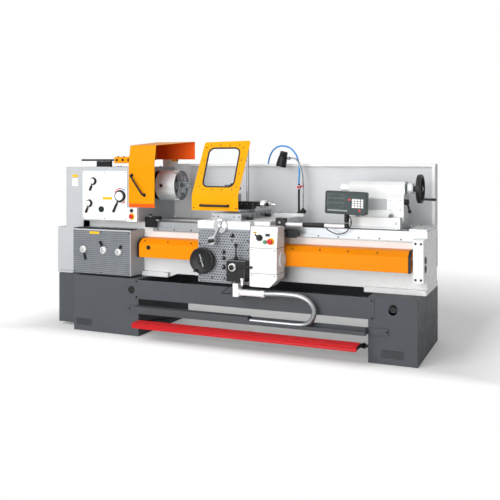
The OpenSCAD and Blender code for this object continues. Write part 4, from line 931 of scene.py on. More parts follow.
def bentLine(points, radius, steps=5):
    # replaces each inner corner by a short curve
    line = [Vector(points[0])]
    for a, b, c in zip(points, points[1:], points[2:]):
        a, b, c = Vector(a), Vector(b), Vector(c)
        p, q = b + (a - b).normalized() * radius, b + (c - b).normalized() * radius
        for k in range(steps + 1):
            t = k / steps
            line.append(p * (1 - t) ** 2 + b * 2 * t * (1 - t) + q * t * t)
    return line + [Vector(points[-1])]


def addSheet(bm, line, x0, x1, t, mOut, mIn):
    # sheet along X: x0 and x1 may be lists, one value per point of the line
    n = len(line)
    x0 = x0 if isinstance(x0, list) else [x0] * n
    x1 = x1 if isinstance(x1, list) else [x1] * n
    inner = []
    for i, p in enumerate(line):
        d = (line[min(i + 1, n - 1)] - line[max(i - 1, 0)]).normalized()
        inner.append(p + Vector((d.y, -d.x)) * t)
    ends = list(zip(x0, x1))
    ringsOut = [[bm.verts.new((x, p.x, p.y)) for x in pair] for pair, p in zip(ends, line)]
    ringsIn = [[bm.verts.new((x, p.x, p.y)) for x in pair] for pair, p in zip(ends, inner)]
    for i in range(n - 1):
        for ring, m in ((ringsOut, mOut), (ringsIn, mIn)):
            bm.faces.new((ring[i][0], ring[i][1], ring[i + 1][1], ring[i + 1][0])).material_index = m
        for side in (0, 1):
            bm.faces.new((ringsOut[i][side], ringsIn[i][side], ringsIn[i + 1][side],
                          ringsOut[i + 1][side])).material_index = mOut
    for i in (0, n - 1):
        bm.faces.new((ringsOut[i][0], ringsOut[i][1], ringsIn[i][1], ringsIn[i][0])).material_index = mOut


def makeGuard(s):
    bm = bmesh.new()
    t, f = s["t"], s["front"]
    slantY, slantZ = s["slant"]
    points = [(f, s["z0"]), (f, s["fold"]), (slantY, slantZ), (s["rear"], s["rearZ"][1] - 1),
              (s["rear"], s["rearZ"][0])]
    line = bentLine(points, s["bend"])
    right = []
    for p in line:  # the roof spreads into a wing towards the rear
        share = min(1, max(0, (p.x - slantY) / (s["rear"] - slantY)))
        right.append(s["x1"] + s["wing"] * share)
    # yellow outside; the inner faces are orange-red as painted shade
    addSheet(bm, line, s["x0"], right, t, 0, 1)
    # the bottom lip is orange-red on both faces: painted shade
    addSheet(bm, [Vector(s["lip"]), Vector((f + 0.2, s["z0"] + 1))], s["x0"] + 1, s["x1"] - 1, t, 1, 1)
    addPlate(bm, [(f + 2, s["fold"] - 14), (s["cheekY"], s["fold"] - 14), (s["rear"] - 2, s["rearZ"][0]),
                  (s["rear"] - 2, s["rearZ"][1] - 4), (slantY, slantZ - 4), (f + 2, s["fold"] - 4)],
             (s["x0"] + 0.2, 0, 0), toRear, upward, t, 0)
    hx0, hx1, hy0, hy1, hz0, hz1 = s["hub"]
    hub = [(y + (hy0 + hy1) / 2, z + (hz0 + hz1) / 2) for y, z in roundOutline(hy1 - hy0, hz1 - hz0, 9)]
    addPlate(bm, hub, (hx0, 0, 0), toRear, upward, hx1 - hx0 + 1, 0)
    addBox(bm, *s["lug"], 0)
    for hx in (hx0 + 24, hx0 + 80, hx1 - 26):  # clamp screws of the hub
        addScrew(bm, (hx, hy0, (hz0 + hz1) / 2), toFront, 10, 2)
        addScrew(bm, (hx, (hy0 + hy1) / 2, hz1), upward, 9, 2)
    rx, ry, rz, rr = s["rod"]
    addTurn(bm, (rx, ry, rz), toRight, [(0, rr - 2), (2, rr), (hx0 - rx + 20, rr)], 2, 24)
    px0, px1, py, pz, pr = s["pin"]
    addTurn(bm, (px0, py, pz), toRight, [(0, pr - 1), (1, pr), (px1 - px0 + 1, pr), (px1 - px0 + 4, pr - 3)],
            2, 24)
    y = f - s["gripOut"]
    (ax, az), (bx, bz) = s["grip"]
    bar = smoothRoute([(ax, f + 1, az), (ax, f - 12, az), (ax + 3, y + 5, az - 4), (ax + 12, y, az - 17),
                       (bx - 12, y, bz + 17), (bx - 3, y + 5, bz + 4), (bx, f - 12, bz), (bx, f + 1, bz)], 6)
    addTube(bm, bar, s["gripR"], 2, 14)
    for gx, gz in s["grip"]:
        addTurn(bm, (gx, f, gz), toFront, [(-0.5, 14), (3, 14), (4.5, 12), (4.5, 6)], 2, 24)
    makePiece("guardSheet", "chuck_guard", bm, ["yellow", "guardInsideShade", "black"],
              "chuck_guard", bevel=0.5)


makeGuard(guard)
print("guard done")


# carriage: apron panel, knobs, lever housing, small cable

apron = {"panel": (-232, 178, 470, 856), "front": -420,
         "screws": [(-218, 842), (164, 842), (-218, 484), (164, 484), (-36, 842), (-36, 484)],
         "edge": [(-222, 744), (-222, 520), (168, 780), (168, 716), (40, 780), (-120, 500), (-20, 500)],
         "knobs": [(-25, 693, 11), (-25, 649, 11), (-25, 583, 12), (44, 816, 12)],
         "house": (32, 178, -505, -419, 494, 647.3), "plug": (162, -514, 476, 526, 9),
         "cable": [(80, -500, 500), (68, -498, 470), (20, -488, 432), (-12, -482, 410), (-8, -480, 402),
                   (30, -480, 404), (84, -480, 408)], "cableR": 3.5, "band": (-238, 180, -421, 866, 914),
         "block": (84, 126, -505, -419, 389, 485), "sleeve": (125, 322, -480, 420, 21.5)}


def makeApron(s):
    x0, x1, z0, z1 = s["panel"]
    y = s["front"]
    bm = bmesh.new()
    addPanel(bm, x0, x1, z0, z1, 8, y, 1.5)
    makePiece("apronPanel", "carriage", bm, "pressedDark", bevel=0.5)
    bm = bmesh.new()
    addScrews(bm, [(x, y - 1.5, z) for x, z in s["screws"]], toFront, 7, 0)
    addScrews(bm, [(x, y - 1.5, z) for x, z in s["edge"]], toFront, 6.5, 1)
    for x, z, r in s["knobs"]:  # feed selectors
        addTurn(bm, (x, y - 1.5, z), toFront, [(-1, r + 5), (2, r + 5), (3, r + 3.5), (3, r - 2), (8, r - 2),
                                               (9, r), (18, r), (20, r - 1.5), (20, 2)], 1, 28)
        addBox(bm, x - 1, x + 1, y - 22, y - 21.3, z, z + r - 2, 2)
    x, py, z0, z1, r = s["plug"]
    h = z1 - z0
    addTurn(bm, (x, py, z0), upward, [(0, r - 3), (2, r), (h - 14, r), (h - 12, r + 3), (h, r + 3)], 2, 28)
    addTube(bm, smoothRoute(s["cable"], 8), s["cableR"], 1, 10)
    makePiece("apronControls", "carriage", bm, ["zinc", "blackPlastic", "whitePlastic"])
    makeBlock("leverHousing", "carriage", s["house"], "blackPlastic", 6)
    makeBlock("conduitBlock", "carriage", s["block"], "white", 3)
    bm = bmesh.new()
    sx0, sx1, sy, sz, r = s["sleeve"]
    long = sx1 - sx0
    addTurn(bm, (sx0, sy, sz), toRight, [(0, 13.2), (0, r + 6), (12, r + 6), (16, r), (long - 34, r),
                                         (long - 32, r + 2), (long - 6, r + 2), (long, r - 1), (long, 13.2)],
            0, 32)
    makePiece("conduitSleeve", "carriage", bm, "whitePlastic", sharp=45)
    bm = bmesh.new()
    x0, x1, y, z0, z1 = s["band"]
    addPanel(bm, x0, x1, z0, z1, 3, y + 1, 1)
    makePiece("saddleBand", "carriage", bm, "plate", bevel=0.4)


makeApron(apron)


# cranks and handwheels

crossTurn = math.radians(-154)  # the arm of the cross crank hangs down to the left
cranks = {"cross_crank": {"at": (-45, -420, 884), "axis": toFront, "dial": 52, "dialDeep": 30, "hub": 17,
                          "hubDeep": 26, "arm": (math.sin(crossTurn), 0, math.cos(crossTurn)), "armLong": 118,
                          "ball": 20, "knob": 56, "bar": 9, "ticks": 50},
          "top_crank": {"at": (118, -60, 1028), "axis": toRight, "dial": 32, "dialDeep": 54, "hub": 15,
                        "hubDeep": 26, "arm": toFront, "armLong": 40, "ball": 15, "knob": 70, "bar": 7,
                        "ticks": 30, "plain": True}}


def makeCrank(node, s):
    bm = bmesh.new()
    at, w, arm = Vector(s["at"]), Vector(s["axis"]), Vector(s["arm"])
    r, d = s["dial"], s["dialDeep"]
    addTurn(bm, at, w, [(-20, 9), (0.4, 9), (0.4, r - 2), (2, r), (d * 0.62, r), (d * 0.66, r - 1.6),
                        (d * 0.7, r - 1.6), (d * 0.74, r), (d - 1, r), (d + 0.4, r - 2), (d + 0.4, s["hub"])],
            0, 64)
    addMarks(bm, at, w, r - 0.1, s["ticks"], 3, d * 0.42, d * 0.56, 5, 0.45, 2)
    h, e = s["hub"], s["hubDeep"]
    addTurn(bm, at + w * d, w, [(0, h), (2, h + 1), (e - 6, h), (e - 1, h * 0.8), (e, h * 0.5)], 0, 36)
    mid = at + w * (d + e / 2)
    long, b, bar = s["armLong"], s["ball"], s["bar"]
    addTurn(bm, mid, arm, [(h * 0.6, bar), (long * 0.5, bar * 0.86), (long - b * 0.8, bar)], 0, 20)
    addTurn(bm, mid, -arm, [(h * 0.6, bar), (long * 0.4 - b * 0.5, bar * 0.9)], 0, 20)
    plain = s.get("plain", False)  # bright slim handle on a black ball
    tip = mid + arm * long
    addBall(bm, tip, b, 1 if plain else 0, 28)
    addBall(bm, mid - arm * long * 0.4, b * 0.8, 1 if plain else 0, 28)
    k, g = s["knob"], b * (0.5 if plain else 0.8)
    if not plain:  # turned flange behind the knob
        f = b * 0.5
        addTurn(bm, tip, w, [(f, 10), (f, 31), (f + 2, 33), (f + 8, 33), (f + 10, 31), (f + 10, 10)], 0, 40)
    addTurn(bm, tip, w, [(b * 0.7, 4), (b * 0.9, 4), (b * 0.9, g * 0.72), (b * 0.9 + 3, g * 0.9),
                         (k * 0.6, g * 0.8), (k * 0.85, g), (k * 0.97, g * 0.8), (k, g * 0.3)],
            0 if plain else 1, 28)
    makePiece(node + "Set", node, bm, ["chrome", "blackPlastic", "black"], node, sharp=45)


for node, s in cranks.items():
    makeCrank(node, s)


wheels = {"apron_wheel": {"at": (-186, -420, 626), "axis": toFront, "r": 98, "start": 30, "deep": 20,
                          "hub": 20, "stub": 12, "bar": ((-14, 48), (16, -44)),
                          "handleAt": (-218.9, -460, 555.3), "handle": 58, "shaft": 10},
          "tailstock_wheel": {"at": (1220, 0, 1159), "axis": toRight, "r": 103, "start": 80, "deep": 34,
                              "hub": 20, "stub": 20, "collar": (9, 52, 38), "ticks": 40,
                              "handleAt": (1324, -41.5, 1087), "handle": 110, "shaft": 10}}


def makeWheel(node, s):
    bm = bmesh.new()
    r, d, h = s["r"], s["start"], s["hub"]
    e = d + s["deep"]
    addTurn(bm, s["at"], s["axis"], [(-s["stub"], s["shaft"]), (0.4, s["shaft"]), (0.4, h), (d - 2, h),
                                     (d + 4, h + 7), (d + 5, r - 24), (d + 1, r - 19), (d, r - 14),
                                     (d, r - 7), (d + 2, r - 2), (d + 7, r), (e - 7, r), (e - 2, r - 2),
                                     (e, r - 7), (e, r - 13), (e - 3, r - 18), (d + 13, r - 22),
                                     (d + 12, h + 8), (e - 2, h + 3), (e, h - 2)], 0, 64)
    at, w = Vector(s["at"]), Vector(s["axis"])
    addTurn(bm, at, w, [(e - 1, h - 2), (e + 1, h - 2), (e + 2, h - 4), (e + 2, 6)], 0, 36)
    if "bar" in s:  # folded grip across the dish
        addTube(bm, [at + w * (e - 4) + Vector((x, 0, z)) for x, z in s["bar"]], 7, 2, 16)
    addScrew(bm, at + w * (e + 1.6), w, 8, 2)
    k = s["handle"]
    addTurn(bm, s["handleAt"], w, [(4, 5), (11, 5), (11, 7.5), (14, 8.5), (k * 0.5, 7.8), (k * 0.8, 9.8),
                                   (k * 0.95, 9), (k, 5)], 0, 28)
    if "collar" in s:  # graduated ring behind the wheel
        c0, c1, cr = s["collar"]
        addTurn(bm, at, w, [(c0, h - 1), (c0, cr - 1), (c0 + 1, cr), (c1 - 1, cr), (c1, cr - 1), (c1, h - 1)],
                3, 56)
        addMarks(bm, at, w, cr, s["ticks"], c1 - 3, c1 - 12, c1 - 20, 5, 0.5, 0)
    makePiece(node + "Rim", node, bm, ["blackPlastic", "chrome", "zinc", "turned"], node,
              sharp=45)


for node, s in wheels.items():
    makeWheel(node, s)


# joystick, half nut lever, selector

stick = {"hub": (100, -482, 659.4), "hubLong": 28, "hubR": 12, "top": 756, "ball": 14}


def makeJoystick(s):
    x, y, z = s["hub"]
    bm = bmesh.new()
    long, r = s["hubLong"], s["hubR"]
    addTurn(bm, (x - long / 2, y, z), toRight, [(0, r - 2), (1.5, r), (long - 1.5, r), (long, r - 2)], 0, 28)
    boot = [(4, 11.8)]
    for k in range(4):  # folds of the rubber boot
        boot += [(10 + k * 6, 11.5 - k * 1.3), (13 + k * 6, 8.6 - k)]
    addTurn(bm, (x, y, z), upward, boot + [(36, 6)], 1, 28)
    top, b = s["top"] - z, s["ball"]
    addTurn(bm, (x, y, z), upward, [(30, 5.2), (top - b * 0.7, 4.8)], 2, 20)
    addTurn(bm, (x, y, z), upward, [(top - 16, 7), (top - 12, 9), (top - 6, 12.5), (top, b), (top + 6, 12.6),
                                    (top + 11, 8.4), (top + 13.6, 3)], 0, 28)
    makePiece("joystickGrip", "feed_joystick", bm, ["blackPlastic", "rubber", "black"],
              "feed_joystick", sharp=50)


# x, z, width of the disc, length of the arm, turn from upright, front of what carries it
halfNut = (85, 600, 58, 156, 87, -504.4)
selector = (288, 817, 30, 38, -45, -506.4)
selectorSet = {"disc": 24, "arm": 9, "grip": 11, "gripShare": 0.6}

makeJoystick(stick)
makeLever("half_nut_lever", *halfNut, "whitePlastic", "blackPlastic", "white_plastic", leverSet)
makeLever("selector_switch", *selector, "blackPlastic", "blackPlastic", "black_plastic", selectorSet)
print("carriage controls done")


# control box: seams, panel pieces, fan grille

box = {"x": (215, 419), "front": -500, "lean": 22, "bend": 745, "top": 893, "seams": [745, 566],
       "seamHigh": 3, "panel": (222, 412, 752, 886), "back": -356,
       "rings": [(288, 817, 22, 1), (332, 789, 15, 2), (375, 795, 24, 3)],
       "display": (347, 837, 34, 20), "pilot": (400, 835, 8), "mark": (250, 852, 26, 14), "seat": -506,
       "fan": (419, -400, 658, 58), "screws": [(231, 552), (403, 552), (231, 732), (403, 732)]}


def makeControlPanel(s):
    slope = Vector((0, s["lean"], s["top"] - s["bend"])).normalized()

    def onPanel(x, z):
        return (x, s["front"] + s["lean"] * (z - s["bend"]) / (s["top"] - s["bend"]), z)

    bm = bmesh.new()
    x0, x1, z0, z1 = s["panel"]
    mid = onPanel((x0 + x1) / 2, (z0 + z1) / 2)
    addPlate(bm, roundOutline(x1 - x0, (z1 - z0) / slope.z, 8), mid, toRight, slope, 1.2, 0)
    makePiece("controlPanel", "carriage", bm, "plate", bevel=0.4)
    bm = bmesh.new()
    (x0, x1), y, half = s["x"], s["front"] - 0.3, s["seamHigh"] / 2
    for z in s["seams"]:  # joint lines between the box parts
        addBox(bm, x0 + 2, x1 + 0.3, y, y + 1, z - half, z + half, 0)
        addBox(bm, x1 - 0.6, x1 + 0.3, y, s["back"], z - half, z + half, 0)
    for x, z, r, m in s["rings"]:
        addTurn(bm, (x, s["seat"], z), toFront, [(-16, r), (0.4, r), (1.4, r - 1), (1.4, 8)], m, 36)
    x, z, w, h = s["display"]
    addPlate(bm, roundOutline(w, h, 3), onPanel(x, z), toRight, slope, 4, 1)
    addPlate(bm, roundOutline(w - 8, h - 8, 1.5), onPanel(x, z), toRight, slope, 4.3, 4)
    x, z, r = s["pilot"]
    addTurn(bm, onPanel(x, z), slope.cross(Vector(toRight)) * -1,
            [(-1, r), (4, r), (8, r * 0.8), (10, r * 0.4)], 5, 24)
    x, z, w, h = s["mark"]
    addPlate(bm, roundOutline(w, h, 2), onPanel(x, z), toRight, slope, 1.8, 3)
    addPlate(bm, [(-8, -4), (8, -4), (0, 5)], onPanel(x, z), toRight, slope, 2.2, 1)
    addScrews(bm, [(x, s["front"], z) for x, z in s["screws"]], toFront, 5, 2)
    makePiece("panelParts", "carriage", bm, ["cabinetDark", "blackPlastic", "zinc", "yellowPlastic", "screen",
                                             "whitePlastic"])
    bm = bmesh.new()
    x, y, z, r = s["fan"]
    addTurn(bm, (x, y, z), toRight, [(-0.5, r), (7, r), (12, r - 6), (12, r - 10), (8, r - 12), (8, r * 0.3)],
            0, 48)
    turns = [2 * math.pi * i / 32 for i in range(33)]
    for k in range(5):  # rings of the fan grille
        q = r * (0.24 + 0.13 * k)
        addTube(bm, [(x + 9.4, y + q * math.cos(a), z + q * math.sin(a)) for a in turns], 1.6, 0, 8)
    q = r * 0.9
    for k in range(3):
        a = math.pi * k / 3
        spoke = [(x + 9, y + q * side * math.cos(a), z + q * side * math.sin(a)) for side in (-1, 1)]
        addTube(bm, spoke, 1.6, 0, 8)
    addTurn(bm, (x, y, z), toRight, [(7, r * 0.2), (11, r * 0.2), (12, r * 0.15), (12, 2)], 0, 24)
    makePiece("fanGrille", "carriage", bm, "white", sharp=45)


makeControlPanel(box)
print("control box done")


# tool slide: graduated ring, gib screws, post lever

slides = {"swivel": (-45, -60, 968, 100), "topFront": -110, "crossX": (-165, 75), "crossFront": -340,
          "post": (-128, -60, 1150), "lever": (-62, -80, 1214), "leverHub": 20, "gib": (-300, 86, 7),
          "gibZ": 944, "endX": (-150, -110, 20, 60), "topGib": (-160, 46, 6), "topGibZ": 1028,
          "bolts": (26.4, 41), "degreeLines": 72}


def makeSlides(s):
    bm = bmesh.new()
    (start, step, count), z = s["gib"], s["gibZ"]
    for k in range(count):  # gib screws along the cross slide
        addScrew(bm, (s["crossX"][1], start + k * step, z), toRight, 6)
        addScrew(bm, (s["crossX"][0], start + k * step, z), toLeft, 6)
    addScrews(bm, [(x, s["crossFront"], z) for x in s["endX"]], toFront, 5)
    makePiece("crossScrews", "cross_slide", bm, "black")
    bm = bmesh.new()
    x, y, z, r = s["swivel"]
    addTurn(bm, (x, y, z + 3), upward, [(0, r - 0.5), (0, r + 0.3), (14, r + 0.3), (16, r - 2), (16, r - 6)],
            0, 72)
    for k in range(s["degreeLines"]):
        a = 2 * math.pi * k / s["degreeLines"]
        px, py = x + (r + 0.4) * math.cos(a), y + (r + 0.4) * math.sin(a)
        addTube(bm, [(px, py, z + 4), (px, py, z + 4 + (7 if k % 6 else 12))], 0.5, 1, 4)
    makePiece("swivelRing", "compound_base", bm, ["steel", "black"])
    bm = bmesh.new()
    start, step, count = s["topGib"]
    addScrews(bm, [(start + k * step, s["topFront"], s["topGibZ"]) for k in range(count)], toFront, 5)
    makePiece("topScrews", "top_slide", bm, "zinc")
    bm = bmesh.new()
    x, y, z = s["post"]
    apart, out = s["bolts"]
    head = [(0, 7.6), (8, 7.6), (9, 6.4), (9, 7.4), (20, 7.4), (21, 5.6)]
    for k in range(4):  # clamp screws on the four sides
        a = math.radians(90 * k)
        for side in (-apart, apart):
            px, py = x + side * math.cos(a) + out * math.sin(a), y + side * math.sin(a) - out * math.cos(a)
            addTurn(bm, (px, py, z + 1), upward, head, 0, 8)
    makePiece("postScrews", "tool_post", bm, "black", sharp=30)
    bm = bmesh.new()
    h = s["leverHub"]
    addTurn(bm, (x, y, z + 0.4), upward,
            [(0, h - 1), (2, h), (16, h), (22, h * 0.85), (30, h * 0.7), (34, h * 0.35)], 0, 36)
    tip = Vector(s["lever"])
    bow = Vector((x, y, z + 26)).lerp(tip, 0.4) + Vector((0, 0, -3))
    addTube(bm, smoothRoute([(x, y, z + 22), bow, tip], 6), 6, 0, 14)
    addBall(bm, tip, 13, 1, 24)
    makePiece("postHandle", "post_lever", bm, ["black", "blackPlastic"], "post_lever",
              sharp=50)


makeSlides(slides)
print("slides done")


# tool shield: yellow sheet with a clear pane in a black gasket

shield = {"x": -135, "y": -350, "z0": 987, "z1": 1101, "topY": -172, "topZ": 1502, "wide": 384, "skew": 22,
          "rise": 10, "t": 3, "corner": 16, "window": (262, 322, 46), "windowUp": 228, "gasket": 11,
          "lugs": [-164, -72], "lugAt": (-150, 1482), "lugWide": 14, "handle": (-375, 1025, 8.5),
          "posts": [-247, -23], "screwsUp": (0.03, 0.35, 0.67, 0.98), "screwsAcross": (-150, -50, 50, 150),
          "footScrews": (-174, 174)}


def addFrame(bm, outer, inner, at, u, v, thick, m):
    # flat ring between two outlines with the same number of points
    at, u, v = Vector(at), Vector(u).normalized(), Vector(v).normalized()
    w = u.cross(v).normalized() * thick
    loops = [[bm.verts.new(at + u * a + v * b + shift) for a, b in line]
             for line, shift in ((outer, Vector()), (outer, w), (inner, w), (inner, Vector()))]
    n = len(outer)
    for a, b in zip(loops, loops[1:] + loops[:1]):
        for k in range(n):
            j = (k + 1) % n
            bm.faces.new((a[k], a[j], b[j], b[k])).material_index = m


def leaningOutline(wide, skew, rise, h, r, window, up, steps=6):
    # outline of the leaning sheet with as many points as the rounded window has
    cw, ch, cr = window
    hole = [(a + skew / 2, b + up) for a, b in roundOutline(cw, ch, cr, steps)]
    bends = [(wide / 2 + skew, h + rise), (skew - wide / 2, h), (-wide / 2, 0), (wide / 2, 0)]
    outer = []
    for i, (cx, cy) in enumerate(bends):
        q = r if i < 2 else 2
        for k in range(steps + 1):
            a = math.radians(90 * i + 90 * k / steps)
            sx, sy = (1 if cx > 0 else -1), (1 if cy > 0 else -1)
            outer.append((cx - sx * q + q * math.cos(a), cy - sy * q + q * math.sin(a)))
    return outer, hole


def makeShield(s):
    up = Vector((0, s["topY"] - s["y"], s["topZ"] - s["z1"]))
    long = up.length
    up.normalize()
    across = Vector(toRight)
    bm = bmesh.new()
    outer, hole = leaningOutline(s["wide"], s["skew"], s["rise"], long, s["corner"], s["window"],
                                 s["windowUp"])
    half = s["wide"] / 2
    fold = (s["x"], s["y"], s["z1"])
    addFrame(bm, outer, hole, fold, across, up, s["t"], 0)
    addPlate(bm, [(-half, s["z0"]), (half, s["z0"]), (half, s["z1"] + 1), (-half, s["z1"] + 1)],
             (s["x"], s["y"], 0), across, upward, s["t"], 0)
    crease = [(s["x"] + dx, s["y"] - 1.5, s["z1"]) for dx in (1 - half, half - 1)]
    addTube(bm, crease, 1.5, 0, 10)
    ly, lz = s["lugAt"]
    for x in s["lugs"]:  # hinge lugs at the top edge
        addPlate(bm, [(ly - 24, lz - 13), (ly + 4, lz - 13), (ly + 13, lz - 5), (ly + 13, lz + 6),
                      (ly + 4, lz + 14), (ly - 20, lz + 16)], (x - s["lugWide"] / 2, 0, 0), toRear, upward,
                 s["lugWide"], 0)
    makePiece("shieldSheet", "tool_shield", bm, "shieldYellow", "tool_shield", bevel=0.5)
    w, h, r = s["window"]
    g = s["gasket"]
    mid = Vector(fold) + up * s["windowUp"] + across * s["skew"] / 2
    out = across.cross(up)
    bm = bmesh.new()
    outer = roundOutline(w + 2 * g * 0.4, h + 2 * g * 0.4, r + 4)
    hole = roundOutline(w - 2 * g * 0.6, h - 2 * g * 0.6, r - 6)
    addFrame(bm, outer, hole, mid - out * 1.5, across, up, s["t"] + 3, 0)
    hy, hz, hr = s["handle"]
    a, b = s["posts"]
    y = s["y"] - s["t"]
    bar = [(a, y + 1, hz), (a, y - 10, hz), (a + 4, hy + 3, hz), (a + 16, hy, hz), (b - 16, hy, hz),
           (b - 4, hy + 3, hz), (b, y - 10, hz), (b, y + 1, hz)]
    addTube(bm, smoothRoute(bar, 6), hr, 0, 14)
    for x in s["posts"]:
        addTurn(bm, (x, y, hz), toFront, [(-0.5, 11), (2.5, 11), (4, 9), (4, 5)], 0, 24)
    makePiece("shieldTrim", "tool_shield", bm, "rubber", sharp=50)
    bm = bmesh.new()
    addPlate(bm, roundOutline(w - 2, h - 2, r - 1), mid + out * 0.8, across, up, 1.4)
    makePiece("shieldPane", "tool_shield", bm, "clear")
    bm = bmesh.new()
    for side in (-1, 1):
        for share in s["screwsUp"]:  # screws round the window
            px = side * (w / 2 + 24)
            addScrew(bm, mid + across * px + up * ((share - 0.5) * (h + 20)) + out * s["t"], out, 4.5)
    for px in s["screwsAcross"]:
        for side in (-1, 1):
            addScrew(bm, mid + across * px * 0.8 + up * side * (h / 2 + 22) + out * s["t"], out, 4.5)
    addScrews(bm, [(s["x"] + px, y, s["z0"] + 20) for px in s["footScrews"]], toFront, 5)
    makePiece("shieldScrews", "tool_shield", bm, "black")


makeShield(shield)
print("shield done")


# readout: housing, screen, keypad, arm sleeve and lead

readout = {"x": (716, 1012), "y": (-325, -275), "z": (986, 1146), "post": (864, -300),
           "neck": (927.4, 996, 17), "roll": 2, "screen": (792, 1080, 126, 96), "pad": (938, 1064),
           "key": (17, 13, 2.5), "columns": (-20, 0, 20, 42), "row": 16,
           "redKeys": [(890, 1090), (964, 1018)], "icons": (742, 1012, 9), "slots": 6, "sleeve": (542, 703),
           "armZ": 903, "armR": 12, "armY": -300, "pivot": (342, 412, -326, -274, 885, 946),
           "pivotScrew": (374, -326, 915), "collar": (886.5, 40, 17.6),
           "lead": [(703, -296, 903), (726, -280, 868), (790, -268, 842), (850, -266, 860), (888, -272, 916),
                    (884, -282, 962), (864, -300, 988)]}


def makeReadout(s):
    (x0, x1), (y0, y1), (z0, z1) = s["x"], s["y"], s["z"]
    mid = Vector(((x0 + x1) / 2, s["post"][1], (z0 + z1) / 2))
    roll = Matrix.Rotation(math.radians(s["roll"]), 3, "Y")  # it hangs a little askew

    def lean(bm):
        bmesh.ops.rotate(bm, cent=mid, matrix=roll, verts=bm.verts)

    bm = bmesh.new()
    addFace(bm, x1 - x0, z1 - z0, 14, (mid.x, y1, mid.z), y1 - y0, 0)
    lean(bm)
    px, py = s["post"]
    nz0, nz1, nr = s["neck"]
    addTurn(bm, (px, py, nz0), upward, [(0, nr - 1), (2, nr), (nz1 - nz0, nr)], 1, 32)
    makePiece("readoutCase", "readout", bm, ["readout", "black"], "readout", bevel=4,
              segments=3)
    bm = bmesh.new()
    front = y0
    addFrame(bm, roundOutline(x1 - x0 - 2, z1 - z0 - 2, 13), roundOutline(x1 - x0 - 16, z1 - z0 - 16, 8),
             (mid.x, front, mid.z), toRight, upward, 4, 0)
    sx, sz, w, h = s["screen"]
    addFace(bm, w, h, 4, (sx, front, sz), 1.2, 1)
    for k in range(3):  # three number rows on the screen
        addFace(bm, w - 14, h / 3 - 8, 2, (sx, front - 1, sz + (1 - k) * h / 3), 0.8, 5)
    kx, kz = s["pad"]
    for row in range(4):
        for column in s["columns"]:
            addFace(bm, *s["key"], (kx + column, front, kz + 26 - row * s["row"]), 3, 2)
    for x, z in s["redKeys"]:
        addFace(bm, 15, 13, 2.5, (x, front, z), 3, 4)
    ix, iz, n = s["icons"]
    for k in range(n):  # row of small function keys under the screen
        addFace(bm, 11, 9, 2, (ix + k * 16, front, iz), 2.4, 3)
    for k in range(s["slots"]):  # cooling slots at the back
        x = x0 + 40 + k * 13
        addBox(bm, x, x + 6, y1 - 0.5, y1 + 1, z0 + 30, z1 - 30, 0)
    lean(bm)
    makePiece("readoutFace", "readout", bm, ["readoutRim", "screen", "whitePlastic", "lightGrey",
                                             "redPlastic", "readout"], bevel=0.6)
    bm = bmesh.new()
    a, b = s["sleeve"]
    r, long = s["armR"], b - a
    addTurn(bm, (a, s["armY"], s["armZ"]), toRight,
            [(0, r), (0, r + 3), (3, r + 4.5), (long - 3, r + 4.5), (long, r + 3), (long, r)], 0, 32)
    addTube(bm, smoothRoute(s["lead"], 8), 4, 1, 10)
    addBox(bm, *s["pivot"], 0)
    addScrew(bm, s["pivotScrew"], toFront, 9, 2)
    z, h, r = s["collar"]
    addTurn(bm, (px, py, z), upward, [(0, 16), (2, r), (h - 2, r), (h, 16)], 0, 28)
    makePiece("armSleeve", "readout_arm", bm, ["blackPlastic", "rubber", "zinc"], bevel=1,
              sharp=45)


makeReadout(readout)
print("readout done")


# coolant stand: black pipe, valve, gooseneck, lamp

stand = {"pipe": (316, 250, 942, 1178, 8), "valveZ": 1150, "base": (350, 250, 942, 21),
         "neck": [(350, 250, 960), (350, 250, 1040), (350, 250, 1120), (348, 250, 1200), (340, 250, 1270),
                  (322, 250, 1328), (296, 250, 1366), (268, 250, 1380), (245, 250, 1380)], "neckR": 7,
         "valveHub": (316, 233.6, 1150, 9), "valveTip": (360, 227.6, 1160), "pivot": (232, 250, 1380),
         "shade": (176, 250, 1374), "tilt": 14, "shadeHigh": 124, "shadeLow": 43, "shadeTop": 31, "ribs": 8,
         "screws": [(112, 226, 942), (160, 226, 942), (250, 226, 942)]}


